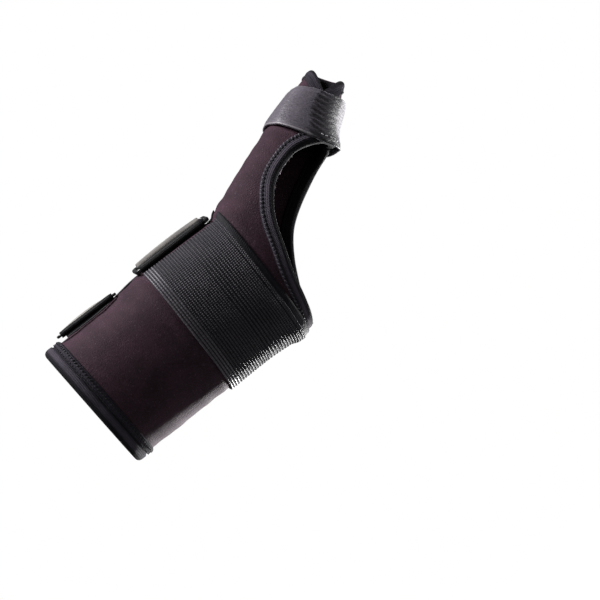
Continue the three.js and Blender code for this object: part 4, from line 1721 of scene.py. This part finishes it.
@dataclass
class ThumbStrap:
    """The smooth strap round the thumb.

    Attributes:
        finishes: The splint's finishes.
        width: Its width.
        thickness: Its thickness.
        start: Angle where it starts, on the palm side.
        turns: How many turns it makes.
        outside: Row of its middle line on the thumb side.
        web: Row of its middle line at the web of the thumb.
        slant: How far it runs on from the palm side to the back, in rows.
        lap_from: Share of its length where it starts to lap itself.
        spread: Angles from the web over which the opening's tape runs out from under it.
        clearance: Gap between what touches.
        binding: Thickness of the opening's tape.
        step: Angle of its low step, from the thumb side over the back.
    """

    finishes: Finishes
    width: float = 30
    thickness: float = 1.4
    start: float = 130
    turns: float = 1.14
    outside: float = FORM.THUMB_ROOT + 0.33
    web: float = FORM.THUMB_ROOT + 0.57
    slant: float = 0.31
    lap_from: float = 0.86
    spread: tuple[float, float] = (130, 152)
    clearance: float = 0.3
    binding: float = 0.9
    step: float = 90

    def marks(self, turned: Array, v: Array) -> tuple[Array, Array]:
        """How much painted shade and painted highlight the strap has past its step.

        Args:
            turned: Turns from the thumb side over the back, in degrees.
            v: Places across the strap, in millimetres.

        Returns:
            The shares of painted shade and of painted highlight.
        """
        ragged = turned + 2.0 * np.sin(1.3 * v) + 1.5 * np.sin(2.9 * v + 1)
        # Painted shade over a band past the step.
        dark = smoothstep(self.step - 2, self.step + 2, ragged) * smoothstep(138, 130, ragged)
        dark = dark * (0.9 + 0.1 * np.sin(2.1 * v + 0.35 * turned))
        # Painted highlight in streaks further round.
        streaks = 0.6 + 0.4 * np.sin(3.7 * v + 1.5 * np.sin(0.2 * turned))
        pale = smoothstep(130, 140, ragged) * smoothstep(172, 160, turned) * streaks
        # Painted shade along the low hem over the same stretch.
        hem = smoothstep(6.5, 4.5, v + self.width / 2 + np.sin(0.3 * turned))
        hem = hem * smoothstep(self.step + 2, self.step + 8, turned) * smoothstep(170, 155, turned)
        return np.maximum(dark, hem), pale * (1 - hem)

    def build(self) -> None:
        """Makes the strap."""
        low, high = FORM.section(np.array([self.outside - 0.5, self.outside + 0.5]))[:, :3]
        row_length = float(np.linalg.norm(high - low))
        count = 220
        turned = np.linspace(0, self.turns, count)[:, None]
        angle = self.start - 360 * turned
        half = self.width / 2
        rim, flat = np.array([0, 0.25, 0.7]), np.linspace(-half + 1.2, half - 1.2, 30)
        v = np.concatenate([rim - half, flat, half - rim[::-1]])[None, :]
        middle = self.web + (self.outside - self.web) * (0.5 + 0.5 * np.cos(np.radians(angle)))
        row = middle + self.slant * np.sin(np.radians(angle)) + v / row_length
        on_tape = 1 - smoothstep(*self.spread, np.abs(np.mod(angle, 360) - 180))
        base = self.clearance + on_tape * (self.binding + self.clearance)
        lap = smoothstep(self.lap_from, 1, turned) * (self.thickness + self.clearance)
        hem = 0.1 * bump(half - 0.5, 0.6, np.abs(v)) - 0.4 * smoothstep(half - 0.3, half, np.abs(v))
        hem = hem - 0.45 * smoothstep(half - 4, half - 0.5, np.abs(v))
        dark, pale = self.marks(-angle, v)
        wave = 0.22 * dark * np.sin(v * 1.9 + 2.0 * np.sin(turned * 60))
        wave = wave + 0.3 * smoothstep(self.step + 1, self.step - 1, -angle)
        turn = np.broadcast_to(FORM.turn_of(angle), row.shape)
        outer = FORM.place(row, turn, base + lap + self.thickness + hem + wave)
        inner = FORM.place(row, turn, base + lap + 0 * v)
        shell = Shell(outer[::-1], inner[::-1])
        along = lengths_along(outer[:, outer.shape[1] // 2])[::-1]
        uv = cloth_map(along[:, None], v)
        # A lighter line along the low hem, and the painted highlight.
        wear = np.maximum(0.25 * bump(-half + 0.5, 0.9, v), pale)
        piece = Piece("thumb_band", Slot.LAMINATE, ("thumb_strap",))
        shell.make(piece, self.finishes[Look.BRUSHED], uv, wear=wear[::-1], shade=dark[::-1])
        low = (-angle[:, 0] > self.step + 8) & (-angle[:, 0] < 140)
        end_seam = Seam(Piece("thumb_band_seam", Slot.LAMINATE))
        # The hem stitches are near white as painted glints.
        hem_seam = Seam(Piece("thumb_hem_seam", Slot.LAMINATE), Thread(2.7, 1.7, 0.85, Look.PALE_THREAD))
        for seam, line in ((end_seam, np.s_[-5, 6:-6]), (hem_seam, np.s_[low, 5])):
            seam.sew([(outer[line], FORM.normal(row[line], turn[line]))], self.finishes)


# Rings and what goes through them


@dataclass
class RingClosure:
    """One ring on the thumb-side border with the loop that holds it and the tab through it.

    Attributes:
        finishes: The splint's finishes.
        prefix: Start of its pieces' names.
        place: Middle of the ring along X.
        length: Length of the ring.
        wire: Thickness of its bars.
        back_angle: Angle of its back bar.
        palm_angle: Angle of its palm bar.
        tab_node: The solid that goes through it.
        tab_width: Width of the tab.
        tab_from: Angle where the tab starts, on the palm side.
        tab_to: Angle where it ends after it has doubled back.
        lift: Thickness of what lies under its doubled-back end.
        tab: Thickness of the tab.
        bow: How far the middle of its fold stands off the ring.
        crown_highlight: How far down from its top the fold carries a painted highlight.
        anchor: Thickness of the loop that holds the ring.
        clearance: Gap between what touches.
        binding: Thickness of the tape on the border.
    """

    finishes: Finishes
    prefix: str
    place: float
    length: float
    wire: float
    back_angle: float
    palm_angle: float
    tab_node: str
    tab_width: float
    tab_from: float
    tab_to: float
    lift: float
    tab: float = 1.0
    bow: float = 0.8
    crown_highlight: float = 2.0
    anchor: float = 0.8
    clearance: float = 0.3
    binding: float = 0.9

    def arm(self, x: float, angle: float, offset: float) -> Array:
        """One point over the forearm."""
        return FORM.place(FORM.row_at(x), FORM.turn_of(angle), offset)

    def bar(self, angle: float, offset: float) -> Array:
        """Where a bar lies so that it clears the arm at both its ends."""
        ends = [self.arm(self.place + share * self.length, angle, offset) for share in (-0.5, 0.5)]
        return max(ends, key=lambda p: p[2])

    def bars(self) -> tuple[Array, Array]:
        """The back bar and the palm bar.

        Returns:
            A point on the middle line of each.
        """
        gap = self.clearance
        under = 2 * gap + self.anchor + self.wire / 2
        over = 3 * gap + self.binding + self.tab + self.wire / 2
        return self.bar(self.back_angle, under), self.bar(self.palm_angle, over)

    def build(self) -> None:
        """Makes the ring, its loop and its tab."""
        self.build_ring()
        self.build_anchor()
        self.build_tab()

    def build_ring(self) -> None:
        """Makes the ring of rounded bars."""
        back, palm = self.bars()
        way = palm - back
        way[0] = 0
        deep = float(np.linalg.norm(way))
        way = way / deep
        corner = 0.8 * self.wire
        half = (self.length - self.wire) / 2
        loop = []
        for end_x, end_y in ((1, 0), (1, 1), (-1, 1), (-1, 0)):
            for turned in np.radians(np.linspace(0, 90, 7)):
                c, s = math.cos(turned), math.sin(turned)
                out_x, out_y = (c, s) if (end_x > 0) == (end_y > 0) else (s, c)
                x = self.place + end_x * (half - corner + corner * out_x)
                y = deep - corner + corner * out_y if end_y else corner - corner * out_y
                loop.append(np.array([x, back[1] + way[1] * y, back[2] + way[2] * y]))
        line = np.array(loop)
        flat = np.array([0, -way[2], way[1]])
        along = unit(np.roll(line, -1, axis=0) - np.roll(line, 1, axis=0))
        side = np.cross(flat, along)
        sides, power = 16, 0.72
        grid = []
        for k in range(sides):
            c, s = math.cos(2 * math.pi * k / sides), math.sin(2 * math.pi * k / sides)
            c, s = math.copysign(abs(c) ** power, c), math.copysign(abs(s) ** power, s)
            grid.append(line + side * (c * self.wire / 2) + flat * (s * self.wire / 2))
        grid = np.stack(grid, 1)
        rows, columns = grid.shape[:2]
        i, j = (v.ravel() for v in np.meshgrid(np.arange(rows), np.arange(columns), indexing="ij"))
        points, faces = grid.reshape(-1, 3), quads(rows, columns, i, j)[:, [0, 3, 2, 1]]
        piece = Piece(f"{self.prefix}_loop", Slot.PLASTIC, (f"{self.prefix}_ring",))
        piece.add(points, faces, self.finishes[Look.PLASTIC])

    def round_bar(self, bar: Array, radius: float, start: float, end: float, steps: int) -> Array:
        """Points on an arc round a bar, seen along X.

        Args:
            bar: A point on its middle line.
            radius: Radius of the arc.
            start: Where the arc starts, in degrees.
            end: Where it ends.
            steps: How many steps it takes.

        Returns:
            The points, at X = 0.
        """
        turned = np.radians(np.linspace(start, end, steps + 1))
        deep, high = bar[1] + radius * np.cos(turned), bar[2] + radius * np.sin(turned)
        return np.stack([np.zeros(steps + 1), deep, high], -1)

    def ribbon(
        self, piece: Piece, xs: Array, route: Callable[[float], Array], thickness: float,
        material: bpy.types.Material, marks: Optional[Callable[[Array], Array]] = None,
    ) -> None:
        """Makes a flat ribbon that follows a route across X.

        Args:
            piece: The piece to make.
            xs: Places across it.
            route: Gives its middle line at an x.
            thickness: Its thickness.
            material: Its finish.
            marks: Gives the painted highlight of its points, or nothing.
        """
        lines = np.stack([route(float(x)) for x in xs], 1)
        before, after = np.roll(lines, 1, axis=0), np.roll(lines, -1, axis=0)
        before[0], after[-1] = lines[0], lines[-1]
        way = after - before
        out = unit(np.stack([np.zeros(way.shape[:2]), way[..., 2], -way[..., 1]], -1))
        edge = smoothstep(np.max(xs) - 0.5, np.max(xs), xs) + smoothstep(np.min(xs) + 0.5, np.min(xs), xs)
        thick = thickness * (0.5 - 0.22 * edge)[None, :, None]
        shell = Shell(lines + out * thick, lines - out * thick)
        along = lengths_along(lines[:, lines.shape[1] // 2])
        wear = np.zeros(lines.shape[:2]) if marks is None else marks(lines)
        shell.make(piece, material, cloth_map(along[:, None], xs[None, :]), wear=wear)

    def build_anchor(self) -> None:
        """Makes the black loop that is folded round the back bar."""
        back, _ = self.bars()
        radius = self.wire / 2 + self.clearance + self.anchor / 2
        half = (self.length - self.wire - 1.6 * self.wire - 2 * self.clearance) / 2
        xs = np.linspace(self.place - half, self.place + half, 13)

        def route(x: float) -> Array:
            """From the arm round the bar to the arm."""
            return self.round_bar(back, radius, 205, -110, 24) + (x, 0, 0)

        piece = Piece(f"{self.prefix}_keeper", Slot.WEBBING, (f"{self.prefix}_anchor",))
        self.ribbon(piece, xs, route, self.anchor, self.finishes[Look.WEBBING])

    def build_tab(self) -> None:
        """Makes the tab that goes up through the ring and doubles back over its palm bar."""
        _, palm = self.bars()
        gap, thick = self.clearance, self.tab
        radius = self.wire / 2 + gap + thick / 2
        inner, outer = gap + thick / 2, 2 * gap + self.lift + thick / 2
        over = 2 * gap + self.binding + thick / 2
        half = self.tab_width / 2
        xs = self.place + np.concatenate([[-half], np.linspace(-half + 0.5, half - 0.5, 25), [half]])

        def route(x: float) -> Array:
            """Up the palm side, round the palm bar and back down.

            Args:
                x: Place across the tab.

            Returns:
                The middle line there.
            """
            up = [self.arm(x, a, inner) for a in np.linspace(self.tab_from, 26, 6)]
            edge = [self.arm(x, a, over) for a in (18, 11)]
            bow = self.bow * (1 - ((x - self.place) / half) ** 2)
            bend = self.round_bar(palm, radius, 250, 20, 10)
            bend[:, 2] += bow * np.sin(np.linspace(0, math.pi, 11))
            down = [self.arm(x, a, outer) for a in np.linspace(30, self.tab_to, 8)]
            line = np.vstack([up, edge, bend, down])
            line[:, 0] = x
            return smooth_line(line, 90)

        def crown_highlight(lines: Array) -> Array:
            """Painted highlight on the top of the fold, weaker along a thin line just below its top.

            Args:
                lines: Points of the tab.

            Returns:
                One share for each point.
            """
            rise = lines[..., 2] - palm[2]
            top = rise.max(axis=0)
            light = smoothstep(top - self.crown_highlight, top - self.crown_highlight + 0.5, rise)
            return light * (1 - 0.6 * bump(0.45, 0.5, top - rise))

        piece = Piece(f"{self.prefix}_fold", Slot.LAMINATE, (self.tab_node,))
        self.ribbon(piece, xs, route, thick, self.finishes[Look.LAMINATE], crown_highlight)
        self.sew_tab(2 * gap + self.lift + thick)

    def sew_tab(self, height: float) -> None:
        """Sews round the rim of the doubled-back end.

        Args:
            height: Height of its outer face over the arm.
        """
        inset, top, low, count = 1.8, 34.0, self.tab_to - 2.5, 40
        reach = self.tab_width / 2 - inset
        left, right = self.place - reach, self.place + reach
        lines, down = [], (top, low)
        for ends, angles in (((left, left), down), ((right, right), down), ((left, right), (low, low))):
            x, angle = np.linspace(*ends, count), np.linspace(*angles, count)
            row, turn = FORM.row_at(x), FORM.turn_of(angle)
            lines.append((FORM.place(row, turn, height), FORM.normal(row, turn)))
        Seam(Piece(f"{self.prefix}_seam", Slot.LAMINATE)).sew(lines, self.finishes)


@dataclass
class ClosureTape:
    """The thin tape along the thumb-side border.

    Attributes:
        finishes: The splint's finishes.
        width: Its width.
        height: Its thickness.
        clearance: Gap under it.
        start: Angle where it starts.
        cuff_binding: Width of the cuff's tape, which it ends at.
    """

    finishes: Finishes
    width: float = 8
    height: float = 0.9
    clearance: float = 0.3
    start: float = 2
    cuff_binding: float = 9.5

    def build(self) -> None:
        """Makes the tape."""
        girth = math.pi * (FORM.wrist_width + FORM.wrist_depth) / 2
        end = self.start + self.width * 360 / girth
        cuff = -FORM.forearm_length + self.cuff_binding + FORM.cuff_slant
        x = np.linspace(cuff, FORM.heel_reach, 90)[:, None]
        angle = np.linspace(self.start, end, 9)[None, :]
        across = np.linspace(-1, 1, 9)[None, :]
        row, turn = FORM.row_at(x), FORM.turn_of(angle)
        round_off = 0.5 * smoothstep(0.7, 1, np.abs(across))
        outer = FORM.place(row, turn, self.clearance + self.height - round_off)
        inner = FORM.place(row, turn, self.clearance * 0.5)
        piece = Piece("border_tape", Slot.TAPE, ("closure_binding",))
        uv = cloth_map(x, across * self.width / 2)
        Shell(outer, inner).make(piece, self.finishes[Look.BORDER], uv)


# Camera, lights and floor


@dataclass(frozen=True)
class Lamp:
    """A soft square light.

    Attributes:
        name: Its name.
        way: Where it stands from its aim, to the picture's right, up and back, in metres.
        power: Its power in watts.
        size: Its side in metres.
        aim: What it shines on, in millimetres, or None for the camera's target.
    """

    name: str
    way: tuple[float, float, float]
    power: float
    size: float
    aim: Optional[tuple[float, float, float]] = None


@dataclass
class Studio:
    """A white room with soft lights, and the camera as in the photograph.

    Attributes:
        target: The point that the camera looks at, in millimetres.
        distance: How far away it stands, in metres.
        azimuth: Where it stands round the splint, in degrees.
        roll: How far the picture is turned, in degrees.
        lamps: The lights.
        lens: Its focal length for a sensor of 36 mm.
        ambient: Strength of the white room's light on the splint.
    """

    target: tuple[float, float, float] = (31.4, 0.0, -23.7)
    distance: float = 1.0
    azimuth: float = -7.0
    roll: float = 38.0
    lamps: tuple[Lamp, ...] = (
        Lamp("key", (-1.0, 0.8, 0.12), 42.0, 0.45),
        Lamp("fill", (-0.4, 0.6, 1.2), 3.2, 0.9),
        Lamp("rim", (0.62, -0.62, -1.12), 46.0, 0.2),
        Lamp("thumb rim", (0.3, 0.04, -0.12), 1.3, 0.05, (108.0, 32.0, 50.0)),
    )
    lens: float = 116.5
    ambient: float = 0.1

    def axes(self) -> tuple[Vector, Vector, Vector]:
        """The picture's right, its up and the way back to the camera.

        Returns:
            Three directions of length one.
        """
        a, r = math.radians(self.azimuth), math.radians(self.roll)
        back = Vector((math.sin(a), -math.cos(a), 0))
        level, up = Vector((math.cos(a), math.sin(a), 0)), Vector((0, 0, 1))
        return level * math.cos(r) - up * math.sin(r), level * math.sin(r) + up * math.cos(r), back

    def build(self) -> None:
        """Sets up the camera, the lights, the world and the floor."""
        right, up, back = self.axes()
        target = Vector(self.target) * MM
        camera = stand("camera", bpy.data.cameras.new("camera"))
        camera.data.lens, camera.data.sensor_width, camera.data.clip_start = self.lens, 36, 0.05
        turned = Matrix((right, up, back)).transposed().to_4x4()
        camera.matrix_world = Matrix.Translation(target + back * self.distance) @ turned
        bpy.context.scene.camera = camera
        bpy.context.scene.view_settings.view_transform = "Standard"
        for lamp in self.lamps:
            self.light(lamp)
        self.world()
        self.floor()

    def light(self, lamp: Lamp) -> None:
        """Adds a light.

        Args:
            lamp: What it is like.
        """
        data = bpy.data.lights.new(lamp.name, "AREA")
        data.energy, data.size = lamp.power, lamp.size
        made = stand(lamp.name, data)
        way = sum((share * axis for share, axis in zip(lamp.way, self.axes())), Vector())
        made.location = Vector(lamp.aim or self.target) * MM + way
        made.visible_camera = False
        made.rotation_mode = "QUATERNION"
        made.rotation_quaternion = (-way).to_track_quat("-Z", "Y")

    def world(self) -> None:
        """White for the camera, softer for everything else."""
        world = bpy.data.worlds.new("white room")
        bpy.context.scene.world = world
        world.use_nodes = True
        tree = world.node_tree
        tree.nodes.clear()
        n = Nodes(tree)
        seen = n.add("ShaderNodeLightPath").outputs["Is Camera Ray"]
        strength = n.math("MULTIPLY_ADD", seen, 1 - self.ambient)
        strength.node.inputs[2].default_value = self.ambient
        sky = n.add("ShaderNodeBackground", {"Color": (1, 1, 1, 1), "Strength": strength})
        n.add("ShaderNodeOutputWorld", {0: sky.outputs[0]})

    def floor(self) -> None:
        """Adds the pale floor well below the splint."""
        mesh = bpy.data.meshes.new("floor")
        half, low = 6.0, -1.3
        corners = [(-half, -half, low), (half, -half, low), (half, half, low), (-half, half, low)]
        mesh.from_pydata(corners, [], [(0, 1, 2, 3)])
        floor = stand("floor", mesh)
        pale, n = start_material("floor")
        seen = n.add("ShaderNodeLightPath").outputs["Is Camera Ray"]
        n.surface(
            {
                "Base Color": rgba((0.5, 0.5, 0.5)),
                "Roughness": 0.9,
                "Emission Color": rgba((1, 1, 1)),
                "Emission Strength": seen,
            }
        )
        mesh.materials.append(pale)


CUFF_ROWS = (
    StitchRow("stitches", 7.7, Thread(2.0, 1.7, 0.9, Look.DARK_THREAD), slant=0.9, lift=0.05),
    # Dark dots at the stitch holes: painted shade.
    StitchRow("hole_shade", 5.6, Thread(2.0, 0.9, 0.5, Look.DARK_THREAD), slant=3.0, lift=0.0),
)
OPENING_ROWS = (
    StitchRow("stitches", 5.7, Thread(2.1, 1.7, 0.6), slant=0.9, lift=-0.02),
    # Dark beads sunk at the stitch holes: painted shade.
    StitchRow("hole_shade", 4.9, Thread(2.1, 1.7, 1.1, Look.DARK_THREAD), slant=0.9, lift=-0.15),
)
FLAP_ROWS = (StitchRow("stitches", 5.4, Thread(1.8, 1.0, 0.3, Look.DARK_THREAD), slant=0.8, lift=-0.02),)


def main() -> None:
    """Builds the studio and then each sub-assembly in order."""
    logging.basicConfig(level=logging.INFO, format="%(message)s", stream=sys.stdout)
    Studio().build()
    finishes = Finishes()
    spacing = 0.7
    Sleeve(finishes).build()
    Binding(
        "cuff_tape", "cuff_binding", cuff_edge(spacing), 9.5, finishes, CUFF_ROWS,
        groove=4.9, pitch=2.0,
    ).build()
    Binding(
        "opening_tape", "hand_binding", HandOpening().edge(spacing), 6.8, finishes, OPENING_ROWS,
        groove=4.6, groove_share=0.3, worn_and_highlit=0.9, dark_edge=2.2,
    ).build()
    Binding(
        "flap_tape", "thumb_binding", thumb_edge(spacing), 6.5, finishes, FLAP_ROWS,
        groove=3.4, groove_share=0.12, height=0.75, pitch=1.6, pucker=0.03, nose_out=0.6, worn_and_highlit=0.25,
    ).build()
    ClosureTape(finishes).build()
    WristStrap(finishes).build()
    RingClosure(
        finishes, "wrist", place=-4.2, length=47, wire=2.2, back_angle=-16, palm_angle=4.5,
        tab_node="wrist_tab", tab_width=40, tab_from=41, tab_to=104, lift=1.6,
    ).build()
    RingClosure(
        finishes, "forearm", place=-60, length=37, wire=1.4, back_angle=-14, palm_angle=14,
        tab_node="forearm_strap", tab_width=28, tab_from=150, tab_to=112, lift=0.8, tab=0.8, bow=0.9,
    ).build()
    ThumbStrap(finishes).build()


if __name__ == "__main__":
    main()
